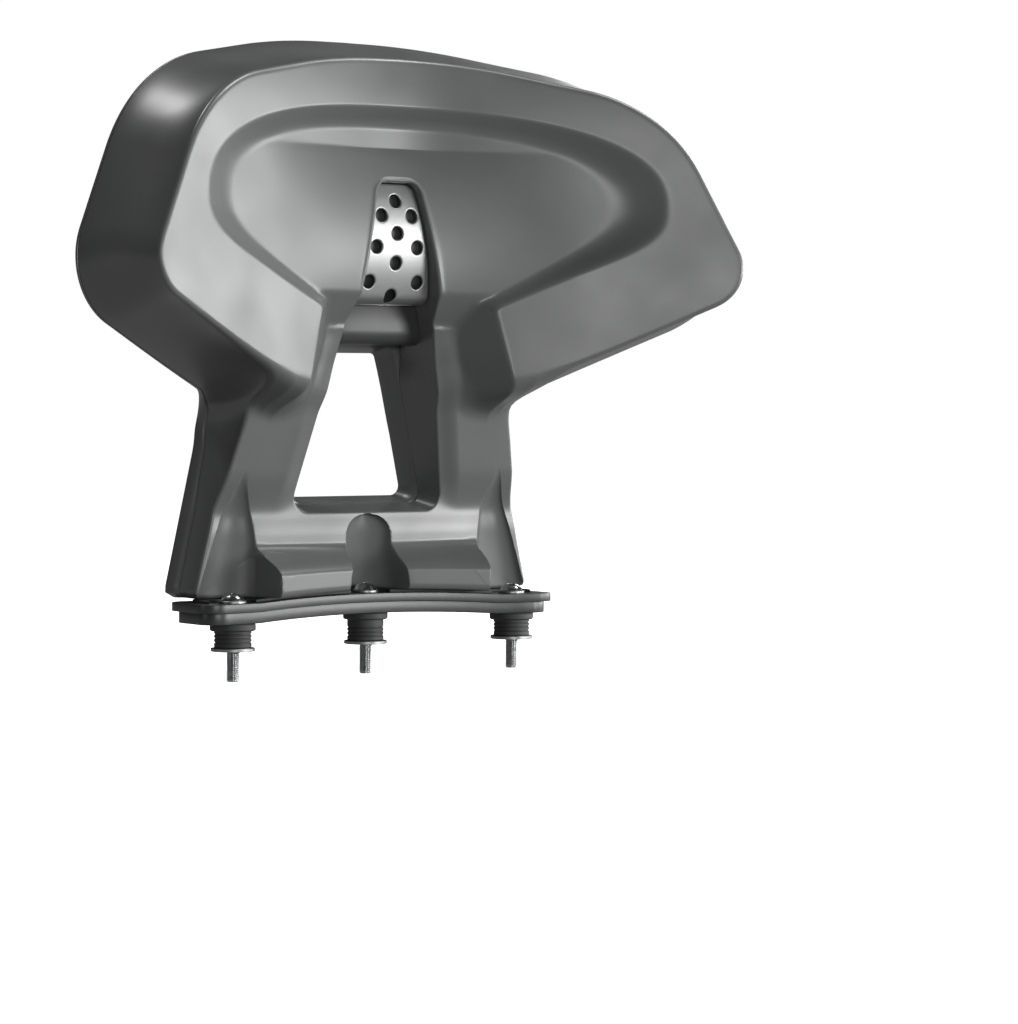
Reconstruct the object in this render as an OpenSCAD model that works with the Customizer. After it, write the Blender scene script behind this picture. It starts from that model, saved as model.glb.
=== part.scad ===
// Passenger backrest for a scooter: a two-part moulded shell over a welded steel
// frame, standing on a steel base plate with rubber mounting bushes.
// Millimetres, +Z up, front of the backrest towards -Y, wings along X.
// Origin: midway between the two outer mounting bolts, in the plane on which
// the bushes stand.

/* [Head] */
// half width of the front face at the wing tips
tip_x = 201; // [170:1:230]
// height of the wing tips
tip_z = 223; // [200:1:250]
// height of the front face's top edge on the centre line
top_z = 349.5; // [320:1:380]
// how far forward of the bolt line the front face stands on the centre line
face_y = 30; // [20:1:40]
// plan slope of the wings, far from the centre line
wing_slope = 0.55; // [0.3:0.01:0.7]
// half width of the rounded bend between the wings, in plan
wing_bend = 85; // [50:1:130]
// depth of the shell from the bolt line to its rear edge
rear_y = 42; // [36:1:50]
// how far the rear edge of the head stands outside its front edge
head_flare = 15; // [6:0.5:20]
// corner radius of the wing tips
tip_r = 26; // [14:1:30]
// corner radius between the top edge and the side edges
shoulder_r = 90; // [50:1:110]
// radius of the fillet between the wings and the legs
waist_r = 30; // [18:1:40]

/* [Recess] */
// half width of the recess
recess_x = 158; // [130:1:170]
// height of the recess's widest line
recess_z = 263; // [250:1:275]
// height of the recess above its widest line
recess_h = 57; // [45:1:62]
// depth of the recess below the wings' face
recess_depth = 10.5; // [6:0.5:14]
// crown of the recess's floor on the centre line
recess_crown = 9.5; // [0:0.5:10]
// slope of the recess's walls
recess_wall = 0.9; // [0.5:0.05:1.5]

/* [Legs] */
// half width of the legs at the foot
foot_x = 118; // [100:1:125]
// narrowing of each leg's outer edge, per millimetre of height
leg_taper = 0.234; // [0.1:0.01:0.3]
// how far the rear edge of a leg stands outside its front edge
leg_flare = 8; // [3:0.5:12]
// how far the toes bulge forward at the outer pockets
toe_bulge = 24; // [12:1:28]
// how far the toes bulge forward at the centre pocket
toe_bulge_mid = 13; // [8:1:24]

/* [Window] */
// half width of the opening at its foot
window_x = 53.5; // [45:0.5:60]
// height of the opening's foot at the front face
window_z = 80; // [75:1:95]
// narrowing of the opening's sides, per millimetre of height
window_taper = 0.2035; // [0.1:0.0005:0.25]
// height of the slot's top end
slot_z = 276; // [255:1:285]
// height of the lower edge of the crossbar in the opening
bar_z = 180; // [165:1:190]
// height of the crossbar
bar_h = 26; // [18:1:34]
// inward draft of the opening's walls towards the rear
window_draft = 9; // [3:0.5:12]

/* [Shell] */
// wall thickness of the mouldings
wall = 4; // [3:0.25:5]
// gap between the front shell and the rear cover
seam_gap = 0.3; // [0.2:0.1:0.6]
// width of the rear cover's side band on the legs
cover_band = 16; // [10:1:20]
// width of the rear cover's side band on the head
head_band = 6; // [5:0.5:12]
// crown of the rear cover
cover_crown = 7; // [2:0.5:12]

/* [Insert] */
// thickness of the perforated insert plate
insert_t = 1.5; // [1:0.1:2.5]
// diameter of the insert plate's holes
insert_hole = 8; // [5:0.5:10]
// gap round the insert plate
insert_gap = 0.6; // [0.3:0.1:1.5]

/* [Base] */
// distance between the outer mounting bolts
bolt_span = 197; // [170:1:220]
// how far the centre bolt stands behind the outer ones
bolt_mid_y = 12; // [8:1:16]
// half length of the base plate
plate_x = 124; // [115:1:130]
// thickness of the base plate
plate_t = 5; // [4:0.5:6]
// thickness of the lower plate
lower_t = 7; // [4:0.5:8]
// thickness of the gasket under the shell's feet
gasket_t = 2; // [1:0.5:3]
// rise of the plates' middle over their ends
plate_rise = 3; // [0:0.5:5]
// height of a mounting bush
bush_h = 16; // [12:1:20]
// outer diameter of a mounting bush's body
bush_d = 22; // [20:1:26]

/* [Hardware] */
// thread diameter of the mounting bolts
bolt_d = 8; // [6:1:10]
// how far the mounting bolts reach below the bushes
bolt_reach = 18; // [10:1:25]
// thread diameter of the cover's screws
screw_d = 4; // [3:0.5:5]

/* [Which node to draw] */
// node drawn by itself, or all of them

/* [Hidden] */
PLASTIC = [0.33, 0.34, 0.34];

// levels of the stack on the bolts
lower_z = bush_h;
plate_z = lower_z + lower_t;
plate_top = plate_z + plate_t;
foot_z = plate_top + gasket_t;

function mix(a, b, t) = a + (b - a) * t;
function clamp01(t) = max(0, min(1, t));
function ease(a, b, x) = let(t = clamp01((x - a) / (b - a))) t * t * (3 - 2 * t);
// smooth minimum and maximum of two heights, blended over k millimetres
function smin(a, b, k) = let(h = max(k - abs(a - b), 0) / k) min(a, b) - h * h * k / 4;
function smax(a, b, k) = -smin(-a, -b, k);

// rise of the plates' upper faces at x
rise_x = bolt_span / 2 - 14;
function rise(x) = plate_rise * max(0, 1 - pow(x / rise_x, 2));

// plan line of the wings: a hyperbola, flat between the wings
function wrap(x) = wing_slope * (sqrt(x * x + wing_bend * wing_bend) - wing_bend);
function wing_y(x) = -face_y - wrap(x);

// half width of the opening at height z
function opening_x(z) = window_x - window_taper * (z - window_z);
// outer edge of a leg's front face at height z
function leg_x(z) = foot_x - leg_taper * (z - foot_z);

// signed distance inside the recess's rim and the wings' inner edges
inner_foot = 170;
inner_top = 202;
function rim_n() = 2.3;
function recess_in(x, z) =
    let(
        a = abs(x) / recess_x,
        b = max(0, z - recess_z) / recess_h,
        f = pow(pow(a, rim_n()) + pow(b, rim_n()), 1 / rim_n()),
        upper = (1 - f) * mix(recess_h, 80, min(1, a * a)),
        lower = (z - inner_top - 0.443 * (abs(x) - 60)) * 0.914
    )
    smin(upper, lower, 14);
function throat_in(x, z) =
    min((60 + (inner_top - z) * 0.25 - abs(x)) * 0.97, inner_top + 18 - z);
function inside(x, z) = smax(recess_in(x, z), throat_in(x, z), 4);

// front line of the legs and toes at height z, x across
function toe(x) =
    mix(toe_bulge_mid, toe_bulge, clamp01((abs(x) - 16) / 64));
function leg_y(x, z) =
    -5 + 0.24 * (148 - max(z, foot_z + 57)) + 1.2 * max(0, z - 190) - 1.5 * ease(foot_z + 57, foot_z + 36, z)
    - toe(x) * ease(foot_z + 29, foot_z + 10, z) + 3.5 * ease(foot_z + 6, foot_z - 4, z);

// floor of the recess
floor_z = 238;
floor_h = 58;
function floor_y(x, z) =
    wing_y(x) + recess_depth
    - recess_crown * max(0, 1 - pow((z - floor_z) / floor_h, 2)) * (1 - ease(20, 135, abs(x)))
    + 0.6 * max(0, 210 - z);

// lower edge of the wings' face, carried on as a crease to the opening
function crease_z(x) =
    let(a = abs(x)) 145 + 0.29 * (min(a, 72) - 41) + 0.40 * max(0, a - 72);

function head_y(x, z) =
    let(
        s = smax(inside(x, z), 0, 3),
        valley = smin(floor_y(x, z), leg_y(x, z), 6)
    )
    smin(wing_y(x) + recess_wall * s, valley, 5)
    + 3.5 * smax(crease_z(x) - z, 0, 3);

// pockets for the bolts: cones that stand on the plate, open to the front
function cone_y(x, z, cx, cy, r, h, back) =
    let(
        t = clamp01((z - foot_z) / h),
        rr = r * sqrt(max(0, 1 - t * t)),
        dx = x - cx
    )
    abs(dx) < rr ? cy + back * sqrt(1 - pow(dx / rr, 2)) * (1 - t) : -1000;

function front_y(x, z) =
    let(
        a = abs(x),
        solid = smin(head_y(x, z), leg_y(x, z), 4),
        side = cone_y(a, z, bolt_span / 2 - 2, 2, 16, 66, 13),
        mid = cone_y(a, z, 0, 8, 19, 44, 13)
    )
    max(solid, side, mid);

// rear edge of the shell, and the seam between its two mouldings
function rear_edge_y(x, z) = rear_y - wrap(x) * ease(125, 170, z);
function seam_y(x, z) = rear_edge_y(x, z) - mix(cover_band, head_band, ease(110, 190, z));

// ---- outlines, right half, top centre round to bottom centre ----

// arc that rounds the corner b of the path a-b-c with radius r
function corner(a, b, c, r, n = 8) =
    let(
        u = (a - b) / norm(a - b),
        v = (c - b) / norm(c - b),
        half = acos(max(-1, min(1, u * v))) / 2,
        m = (u + v) / norm(u + v),
        ctr = b + m * r / sin(half),
        p = b + u * r / tan(half),
        q = b + v * r / tan(half),
        a0 = atan2(p.y - ctr.y, p.x - ctr.x),
        a1 = atan2(q.y - ctr.y, q.x - ctr.x),
        d = a1 - a0 > 180 ? a1 - a0 - 360 : a1 - a0 < -180 ? a1 - a0 + 360 : a1 - a0
    )
    [for (i = [0 : n]) ctr + r * [cos(a0 + d * i / n), sin(a0 + d * i / n)]];

// points spaced evenly along a path, the last one left out
function lengths(p, i = 1, acc = [0]) =
    i == len(p) ? acc : lengths(p, i + 1, concat(acc, [acc[i - 1] + norm(p[i] - p[i - 1])]));
function spaced(p, n) =
    let(l = lengths(p), total = l[len(l) - 1])
    [for (k = [0 : n - 1]) let(s = total * k / n)
        [lookup(s, [for (i = [0 : len(p) - 1]) [l[i], p[i].x]]),
         lookup(s, [for (i = [0 : len(p) - 1]) [l[i], p[i].y]])]];

toe_out_x = 82;
toe_in_x = 19;
// corners of the front face's outline
top_c = [0, top_z];
brow = [45, top_z - 1];
shoulder = [tip_x - 43.4, top_z - 24.4];
tip = [tip_x + 8.5, tip_z - 8.4];
waist = [leg_x(156.5), 156.5];
foot = [foot_x, foot_z];
foot_c = [0, foot_z];

brow_arc = corner(top_c, brow, shoulder, 350);
shoulder_arc = corner(brow, shoulder, tip, shoulder_r);
tip_arc = corner(shoulder, tip, waist, tip_r);
waist_arc = corner(tip, waist, foot, waist_r);
foot_arc = corner(waist, foot, foot_c, 5, 3);

outer_runs = [
    concat([top_c], brow_arc, shoulder_arc),
    concat([shoulder_arc[8]], tip_arc),
    concat([tip_arc[8]], waist_arc),
    concat([waist_arc[8]], foot_arc),
    [foot_arc[3], [toe_out_x, foot_z]],
    [[toe_out_x, foot_z], [toe_in_x, foot_z]],
    [[toe_in_x, foot_z], foot_c],
];

// corners of the opening's outline
slot_c = [0, slot_z];
slot_corner = [opening_x(slot_z), slot_z];
sill_corner = [opening_x(window_z), window_z];
sill_c = [0, window_z];
slot_arc = corner(slot_c, slot_corner, sill_corner, 7, 5);
sill_arc = corner(slot_corner, sill_corner, sill_c, 10, 5);
function side_point(z) = [opening_x(z), z];

inner_runs = [
    concat([slot_c], slot_arc, [side_point(258)]),
    [side_point(258), side_point(236)],
    [side_point(236), side_point(163)],
    concat([side_point(163)], sill_arc),
    [sill_arc[5], [36, window_z]],
    [[36, window_z], [12, window_z]],
    [[12, window_z], sill_c],
];
run_n = [18, 12, 13, 12, 7, 4, 5];

function half_path(runs) =
    concat([for (i = [0 : len(runs) - 1]) each spaced(runs[i], run_n[i])], [runs[6][1]]);
function full_path(h) =
    concat(h, [for (i = [len(h) - 2 : -1 : 1]) [-h[i].x, h[i].y]]);

rim_path = full_path(half_path(outer_runs));
hole_path = full_path(half_path(inner_runs));
path_n = len(rim_path);

// unit normals of a closed clockwise path, pointing outwards
function normals(p) =
    [for (i = [0 : len(p) - 1])
        let(
            a = p[(i + len(p) - 1) % len(p)],
            b = p[(i + 1) % len(p)],
            t = (b - a) / norm(b - a)
        )
        [-t.y, t.x]];
rim_out = normals(rim_path);
hole_out = normals(hole_path);

// how far the rear edge stands outside the front edge at a point of the rim
function flare(p) =
    mix(leg_flare, head_flare + 2 * clamp01(abs(p.x) / tip_x), ease(115, 165, p.y))
    * ease(foot_z, foot_z + 4, p.y);

// closed solid from rings of equal length, each ring a list of points
module ring_solid(rings) {
    n = len(rings[0]);
    m = len(rings);
    pts = [for (r = rings) for (p = r) [p.x, p.y, p.z + rise(p.x) * ease(foot_z + 25, foot_z, p.z)]];
    faces = [for (j = [0 : m - 1]) for (i = [0 : n - 1])
        let(
            a = j * n + i,
            b = j * n + (i + 1) % n,
            c = ((j + 1) % m) * n + (i + 1) % n,
            d = ((j + 1) % m) * n + i
        )
        each [[a, c, b], [a, d, c]]];
    polyhedron(points = pts, faces = faces, convexity = 10);
}

// fraction of the way from a to b at which the depth inside the rim is s
function crossing(a, b, s, lo = 0, hi = 1, n = 0) =
    n == 14 ? (lo + hi) / 2 :
    let(m = (lo + hi) / 2, q = mix(a, b, m))
    inside(q.x, q.y) > s ? crossing(a, b, s, m, hi, n + 1) : crossing(a, b, s, lo, m, n + 1);
// fractions at which each ray meets the foot and the top of the recess's wall
function fold(a, b, s, plain) =
    inside(a.x, a.y) > s + 1 && b.y > 130 ? crossing(a, b, s) : plain;
foot_t = [for (i = [0 : path_n - 1]) fold(hole_path[i], rim_path[i], 12, 0.4)];
rim_t = [for (i = [0 : path_n - 1]) fold(hole_path[i], rim_path[i], 0, 0.65)];

// front face ring at step t: 0 to 1 to the foot of the recess's wall, 1 to 2
// up the wall and 2 to 3 over the face to its edge
function ray_t(i, t) =
    t < 1 ? foot_t[i] * t : t < 2 ? mix(foot_t[i], rim_t[i], t - 1) : mix(rim_t[i], 1, t - 2);
function face_ring(t) =
    [for (i = [0 : path_n - 1])
        let(q = mix(hole_path[i], rim_path[i], ray_t(i, t)))
        [q.x, front_y(q.x, q.y), q.y]];
// same ring on the inner side of the wall
function dilated_y(x, z, w) =
    max([for (d = [[0, 0], [w, 0], [-w, 0], [0, w], [0, -w]]) front_y(x + d.x, z + d.y)]);
function lining_ring(t) =
    [for (i = [0 : path_n - 1])
        let(
            a = hole_path[i] + hole_out[i] * wall,
            b = rim_path[i] - rim_out[i] * wall,
            q = mix(a, b, ray_t(i, t))
        )
        [q.x, min(dilated_y(q.x, q.y, wall * 0.8) + wall, seam_y(q.x, q.y) - 1), q.y]];
// ring on the flank, t from the front edge to the rear edge
function flank_ring(t, inset) =
    [for (i = [0 : path_n - 1])
        let(
            p = rim_path[i],
            y0 = front_y(p.x, p.y),
            y1 = rear_edge_y(p.x, p.y),
            y = mix(y0, seam_y(p.x, p.y), t),
            f = flare(p) * clamp01((y - y0) / (y1 - y0)) - inset,
            q = p + rim_out[i] * f
        )
        [q.x, y, q.y]];
// rear end of the opening's wall: the seam in the window, a short flange in the slot
flange_y = 2;
window_seam_y = rear_y - cover_band;
function wall_end_y(z) = mix(window_seam_y, flange_y, ease(bar_z - 2, bar_z + 14, z));
function draft_at(z) = window_draft * 0.5 * ease(bar_z, bar_z - 24, z);
// ring on the opening's wall
function wall_ring(t, inset) =
    [for (i = [0 : path_n - 1])
        let(
            p = hole_path[i],
            y0 = front_y(p.x, p.y),
            y1 = wall_end_y(p.y),
            q = p - hole_out[i] * (draft_at(p.y) * t - inset)
        )
        [q.x, mix(y0, y1, t), q.y]];

face_steps = [0, 0.06, 0.25, 0.45, 0.65, 0.85, 1, 1.25, 1.5, 1.75, 1.9, 2, 2.1, 2.4, 2.7, 2.95, 3];
lining_steps = [3, 2.5, 2, 1.5, 1, 0.66, 0.33, 0];
boss_d = 11;
module front_shell() {
    color(PLASTIC)
    difference() {
        union() {
            front_moulding();
            for (sx = [-1, 1]) for (z = shell_screw_z)
                translate([sx * post_x, post_y - 0.2, z]) rotate([90, 0, 0])
                    cylinder(d = boss_d, h = post_y - front_y(post_x, z) - wall / 2, $fn = 32);
            for (sx = [-1, 1]) for (z = carrier_screw_z) let(x = opening_x(z) + wall + 4)
                translate([sx * x, flange_y, z]) rotate([90, 0, 0])
                    cylinder(d = boss_d, h = flange_y - front_y(x, z) - wall / 2, $fn = 32);
        }
        at_shell_screws() translate([0, 0, -shell_screw_in - 1]) cylinder(d = screw_d, h = 30, $fn = 32);
        at_carrier_screws() translate([0, 0, -carrier_screw_in - 1]) cylinder(d = screw_d, h = 30, $fn = 32);
        post_cuts();
    }
}
// clearance for the posts in the mouldings' soles
module post_cuts() {
    for (sx = [-1, 1]) translate([sx * post_x, post_y + post_depth / 2, foot_z])
        cube([post_w + 1, post_depth + 1, 20], center = true);
}
module front_moulding() {
    ring_solid(concat(
        [wall_ring(1, 0), wall_ring(0.5, 0)],
        [for (t = face_steps) face_ring(t)],
        [flank_ring(0.3, 0), flank_ring(0.65, 0), flank_ring(1, 0)],
        [flank_ring(1, wall)],
        [for (t = lining_steps) lining_ring(t)],
        [wall_ring(1, wall)]
    ));
}

// ---- rear cover ----

// outline of the window in the rear cover, at the seam
cover_hole_x = opening_x(bar_z) - window_draft / 2;
cover_sill_z = window_z + window_draft / 2;
cover_sill_x = opening_x(cover_sill_z) - window_draft / 2;
cover_top_arc = corner([0, bar_z], [cover_hole_x, bar_z], [cover_sill_x, cover_sill_z], 7, 5);
cover_sill_arc = corner([cover_hole_x, bar_z], [cover_sill_x, cover_sill_z], [0, cover_sill_z], 10, 5);
cover_hole_side = cover_top_arc[5] + (cover_sill_arc[0] - cover_top_arc[5]) * 0.25;
cover_runs = [
    concat([[0, bar_z]], cover_top_arc),
    [cover_top_arc[5], mix(cover_top_arc[5], cover_sill_arc[0], 0.15)],
    [mix(cover_top_arc[5], cover_sill_arc[0], 0.15), mix(cover_top_arc[5], cover_sill_arc[0], 0.35)],
    concat([mix(cover_top_arc[5], cover_sill_arc[0], 0.35)], cover_sill_arc),
    [cover_sill_arc[5], [27, cover_sill_z]],
    [[27, cover_sill_z], [10, cover_sill_z]],
    [[10, cover_sill_z], [0, cover_sill_z]],
];
cover_path = full_path(half_path(cover_runs));
cover_out = normals(cover_path);

// rear face of the cover: edge ring pulled in and rounded, then crowned
function cover_edge_ring(k, inset) =
    [for (i = [0 : path_n - 1])
        let(
            p = rim_path[i],
            y0 = front_y(p.x, p.y),
            y1 = rear_edge_y(p.x, p.y),
            y = mix(seam_y(p.x, p.y) + seam_gap, y1, k),
            f = flare(p) * (y - y0) / (y1 - y0) - inset,
            q = p + rim_out[i] * f
        )
        [q.x, y, q.y]];
// rear face of the cover, crowned behind the head
function cover_y(x, z) =
    rear_edge_y(x, z)
    + cover_crown * max(0, 1 - pow(x / (tip_x + 10), 2) - pow((z - tip_z - 22) / 120, 2));
function edge_in(z) = mix(4, 9, ease(foot_z + 10, foot_z + 50, z));
function cover_face_ring(t, depth) =
    [for (i = [0 : path_n - 1])
        let(
            e = rim_path[i] + rim_out[i] * (flare(rim_path[i]) - edge_in(rim_path[i].y)),
            a = cover_path[i] - cover_out[i] * window_draft / 2,
            q = mix(e, a, t)
        )
        [q.x, cover_y(q.x, q.y) - depth, q.y]];
function cover_wall_ring(front, inset) =
    [for (i = [0 : path_n - 1])
        let(
            k = front ? 0 : window_draft / 2,
            q = cover_path[i] - cover_out[i] * (k - inset)
        )
        [q.x, front ? window_seam_y + seam_gap : cover_y(q.x, q.y), q.y]];

head_d = 2 * screw_d;
module rear_cover() {
    color(PLASTIC)
    difference() {
        cover_moulding();
        at_cover_screws() cylinder(d = screw_d + 0.5, h = 30, $fn = 32);
        at_cover_screws() translate([0, 0, $seat]) cylinder(d = head_d + 1, h = 30, $fn = 32);
        post_cuts();
    }
}
module cover_moulding() {
    ring_solid(concat(
        [cover_edge_ring(0, 0), cover_edge_ring(0.5, 0.3), cover_edge_ring(0.9, 2.5)],
        [for (t = [0, 0.25, 0.55, 0.85]) cover_face_ring(t, 0)],
        [cover_wall_ring(false, 0), cover_wall_ring(true, 0), cover_wall_ring(true, wall)],
        [for (t = [0.85, 0.4, 0.05]) cover_face_ring(t, wall)],
        [cover_edge_ring(0, wall)]
    ));
}

// ---- bolts' places and the fixings of the mouldings ----

bolt_at = [[-bolt_span / 2, 0], [0, bolt_mid_y], [bolt_span / 2, 0]];
bolt_clear = 0.5;

// welded frame inside the mouldings
post_x = 63;
post_w = 16;
post_y = 14;
post_depth = 11;
post_wall = 2;
post_top = 312;
arm_z = 238;
arm_h = 22;
arm_t = 4;
arm_from = [post_x + post_w / 2, 20];
arm_to = [168, -27];
arm_dir = arm_to - arm_from;
arm_angle = atan2(arm_dir.y, arm_dir.x);

// screws of the rear cover: four into the posts, two into the wing arms
low_screw_z = 118;
high_screw_z = 292;
arm_screw_at = 78;
post_rear = post_y + post_depth;
head_sink = 1.8;
spacer_fit = 0.8;
spacer_r = 6;
function seat_at(x, z) = cover_y(x, z) - head_sink;
arm_screw = arm_from + arm_screw_at * arm_dir / norm(arm_dir);
module at_cover_screws() {
    for (sx = [-1, 1]) {
        for (z = [low_screw_z, high_screw_z])
            translate([sx * post_x, post_rear, z]) rotate([-90, 0, 0]) {
                $seat = seat_at(post_x, z) - post_rear;
                $reach = cover_y(post_x + spacer_r, z) - wall - spacer_fit - post_rear;
                children();
            }
        translate([sx * arm_screw.x, arm_screw.y, arm_z]) rotate([0, 0, sx * arm_angle])
            translate([0, arm_t / 2, 0]) rotate([-90, 0, 0]) {
                $seat = (seat_at(arm_screw.x + 4, arm_z) - arm_screw.y) * cos(arm_angle) - arm_t / 2;
                $reach = $seat + head_sink - wall - 2 * spacer_fit;
                children();
            }
    }
}
shell_screw_in = 12;
// screws of the front shell, driven from behind through the posts
shell_screw_z = [140, 266];
module at_shell_screws() {
    for (sx = [-1, 1]) for (z = shell_screw_z)
        translate([sx * post_x, post_y, z]) rotate([-90, 0, 0]) children();
}

// pan-head screw, its head's seat at the origin, pointing down
module pan_screw(length) {
    difference() {
        union() {
            rotate_extrude($fn = 32) polygon(concat([[0, 0], [head_d / 2, 0]],
                [for (k = [0 : 4]) [head_d / 2 - 1 + cos(k * 22.5), 1.6 + sin(k * 22.5)]], [[0, 2.6]]));
            translate([0, 0, -length]) cylinder(d = screw_d, h = length + 1, $fn = 32);
        }
        translate([0, 0, 2.2]) for (r = [0, 90]) rotate([0, 0, r]) cube([screw_d, 0.9, 2], center = true);
    }
}
// sleeves that keep the cover at its distance from the frame
module cover_spacers() {
    color([0.12, 0.12, 0.12])
    at_cover_screws() difference() {
        cylinder(r = spacer_r, h = $reach, $fn = 32);
        translate([0, 0, -1]) cylinder(d = screw_d + 0.4, h = 30, $fn = 32);
    }
}
module cover_screws() {
    color([0.2, 0.2, 0.2]) at_cover_screws() translate([0, 0, $seat]) pan_screw($seat + 5);
}
module shell_screws() {
    color([0.55, 0.55, 0.56]) at_shell_screws() translate([0, 0, post_depth]) pan_screw(post_depth + shell_screw_in);
}

// ---- plates under the shell ----

function rise_line(z, inset) =
    [for (x = [-plate_x + inset : (plate_x - inset) / 20 : plate_x - inset + 0.01]) [x, z + rise(x)]];
function reversed(p) = [for (i = [len(p) - 1 : -1 : 0]) p[i]];

// plan of a plate: bowed front edge, rounded ends
plate_front = 3;
plate_bow = 11;
plate_rear = 38;
function plan(inset) =
    let(
        x = plate_x - inset,
        front = [for (k = [-12 : 12]) let(a = k / 12) [a * (x - 13), -plate_front - plate_bow * a * a + inset]],
        right = corner(front[24], [x, front[24].y - 1], [x, plate_rear - inset], 12, 8),
        back = corner([x, 0], [x, plate_rear - inset], [0, plate_rear - inset], 14, 8),
        half = concat(right, back)
    )
    concat(front, half, [for (i = [len(half) - 1 : -1 : 0]) [-half[i].x, half[i].y]]);

// plate between heights z0 and z1 with the rise of the middle
module bowed_plate(z0, z1, inset) {
    intersection() {
        translate([0, 100, 0]) rotate([90, 0, 0]) linear_extrude(200)
            polygon(concat(rise_line(z0, -5), reversed(rise_line(z1, -5))));
        translate([0, 0, z0 - 5]) linear_extrude(z1 - z0 + 20) polygon(plan(inset));
    }
}

module at_bolts() {
    for (p = bolt_at) translate([p.x, p.y, rise(p.x)]) children();
}

module base_plate() {
    color([0.27, 0.28, 0.29])
    difference() {
        bowed_plate(plate_z, plate_top, 0);
        at_bolts() translate([0, 0, plate_z - 5]) cylinder(d = bolt_d + 2 * bolt_clear, h = 20, $fn = 48);
    }
}

module lower_plate() {
    color([0.3, 0.31, 0.32])
    difference() {
        bowed_plate(lower_z, plate_z, 3);
        at_bolts() translate([0, 0, lower_z - 5]) cylinder(d = bolt_d + 2 * bolt_clear, h = 20, $fn = 48);
    }
}

sole_gap = 0.2;
module foot_gasket() {
    color([0.08, 0.08, 0.08])
    difference() {
        bowed_plate(plate_top, foot_z - sole_gap, 9);
        at_bolts() translate([0, 0, plate_top - 5]) cylinder(d = 30, h = 20, $fn = 48);
        translate([0, -20, plate_top + 5]) cube([30, 40, 30], center = true);
        for (sx = [-1, 1]) translate([sx * (bolt_span / 2 + 8), -10, plate_top]) cube([46, 20, 30], center = true);
        for (sx = [-1, 1]) translate([sx * post_x, post_y + post_depth / 2, plate_top])
            cube([post_w + 1, post_depth + 1, 30], center = true);
    }
}

// ---- steel frame ----

module post(side) {
    color([0.2, 0.21, 0.22])
    difference() {
        translate([side * post_x - post_w / 2, post_y, plate_z]) cube([post_w, post_depth, post_top - plate_z]);
        translate([side * post_x - post_w / 2 + post_wall, post_y + post_wall, plate_z - 1])
            cube([post_w - 2 * post_wall, post_depth - 2 * post_wall, post_top]);
        translate([0, 100, 0]) rotate([90, 0, 0]) linear_extrude(200)
            polygon(concat(rise_line(plate_z - 9, -5), reversed(rise_line(plate_top, -5))));
        at_cover_screws() translate([0, 0, -post_wall - 7]) cylinder(d = screw_d, h = 12, $fn = 32);
        at_shell_screws() translate([0, 0, -1]) cylinder(d = screw_d + 0.6, h = post_depth + 2, $fn = 32);
    }
}
module left_post() { post(-1); }
module right_post() { post(1); }

crossbar_h = 20;
module crossbar(z) {
    color([0.2, 0.21, 0.22])
    translate([0, post_y + post_depth / 2, z])
    difference() {
        cube([2 * post_x - post_w, post_depth, crossbar_h], center = true);
        cube([2 * post_x, post_depth - 2 * post_wall, crossbar_h - 2 * post_wall], center = true);
    }
}
module upper_crossbar() { crossbar(post_top - crossbar_h / 2 - 2); }
module lower_crossbar() { crossbar(222); }

module wing_arm(side) {
    color([0.2, 0.21, 0.22])
    scale([side, 1, 1])
    difference() {
        translate([arm_from.x, arm_from.y, arm_z]) rotate([0, 0, arm_angle])
        difference() {
            translate([-6, -arm_t / 2, -arm_h / 2]) cube([norm(arm_dir) + 6, arm_t, arm_h]);
            translate([arm_screw_at, 10, 0]) rotate([90, 0, 0]) cylinder(d = screw_d, h = 20, $fn = 32);
        }
        translate([0, 0, arm_z - 20]) cube([arm_from.x, 60, 60]);
    }
}
module left_wing_arm() { wing_arm(-1); }
module right_wing_arm() { wing_arm(1); }

// ---- insert in the slot ----

// front line of the insert plate on the centre line
insert_top = slot_z - insert_gap;
insert_foot = bar_z + bar_h - 2;
function insert_y(z) = -25 + pow(z - 245, 2) / 164 + (z < 216 ? 10 * pow((216 - z) / 12, 2) : 0);
insert_line = [for (k = [0 : 24]) let(z = mix(insert_foot, insert_top + 3, k / 24)) [insert_y(z), z]];
insert_holes = [[0, 265], [-10.4, 256.4], [10.4, 256.4], [0, 245.9], [-14.1, 237.7], [14.1, 237.7],
    [0, 228.3], [-16.8, 217.2], [16.8, 217.2], [0, 209.1]];

// the opening's outline, smaller by gap, between heights z0 and z1
module opening_block(gap, z0, z1, y0, y1) {
    a = [-opening_x(z0) + gap, z0];
    b = [-opening_x(z1 - gap) + gap, z1 - gap];
    c = [opening_x(z1 - gap) - gap, z1 - gap];
    d = [opening_x(z0) - gap, z0];
    translate([0, y1, 0]) rotate([90, 0, 0]) linear_extrude(y1 - y0)
        polygon(concat([a], corner(a, b, c, 6, 6), corner(b, c, d, 6, 6), [d]));
}
// solid across the opening with a profile in the YZ plane
module across(profile) {
    rotate([90, 0, 90]) translate([0, 0, -60]) linear_extrude(120) polygon(profile);
}
function shifted(p, d) = [for (q = p) [q.x + d, q.y]];

module insert_plate() {
    color([0.62, 0.63, 0.63])
    difference() {
        intersection() {
            across(concat(insert_line, reversed(shifted(insert_line, insert_t))));
            opening_block(insert_gap, insert_foot, slot_z, -40, 20);
        }
        for (h = insert_holes) translate([h.x, 20, h.y]) rotate([90, 0, 0])
            cylinder(d = insert_hole, h = 60, $fn = 48);
    }
}

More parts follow.
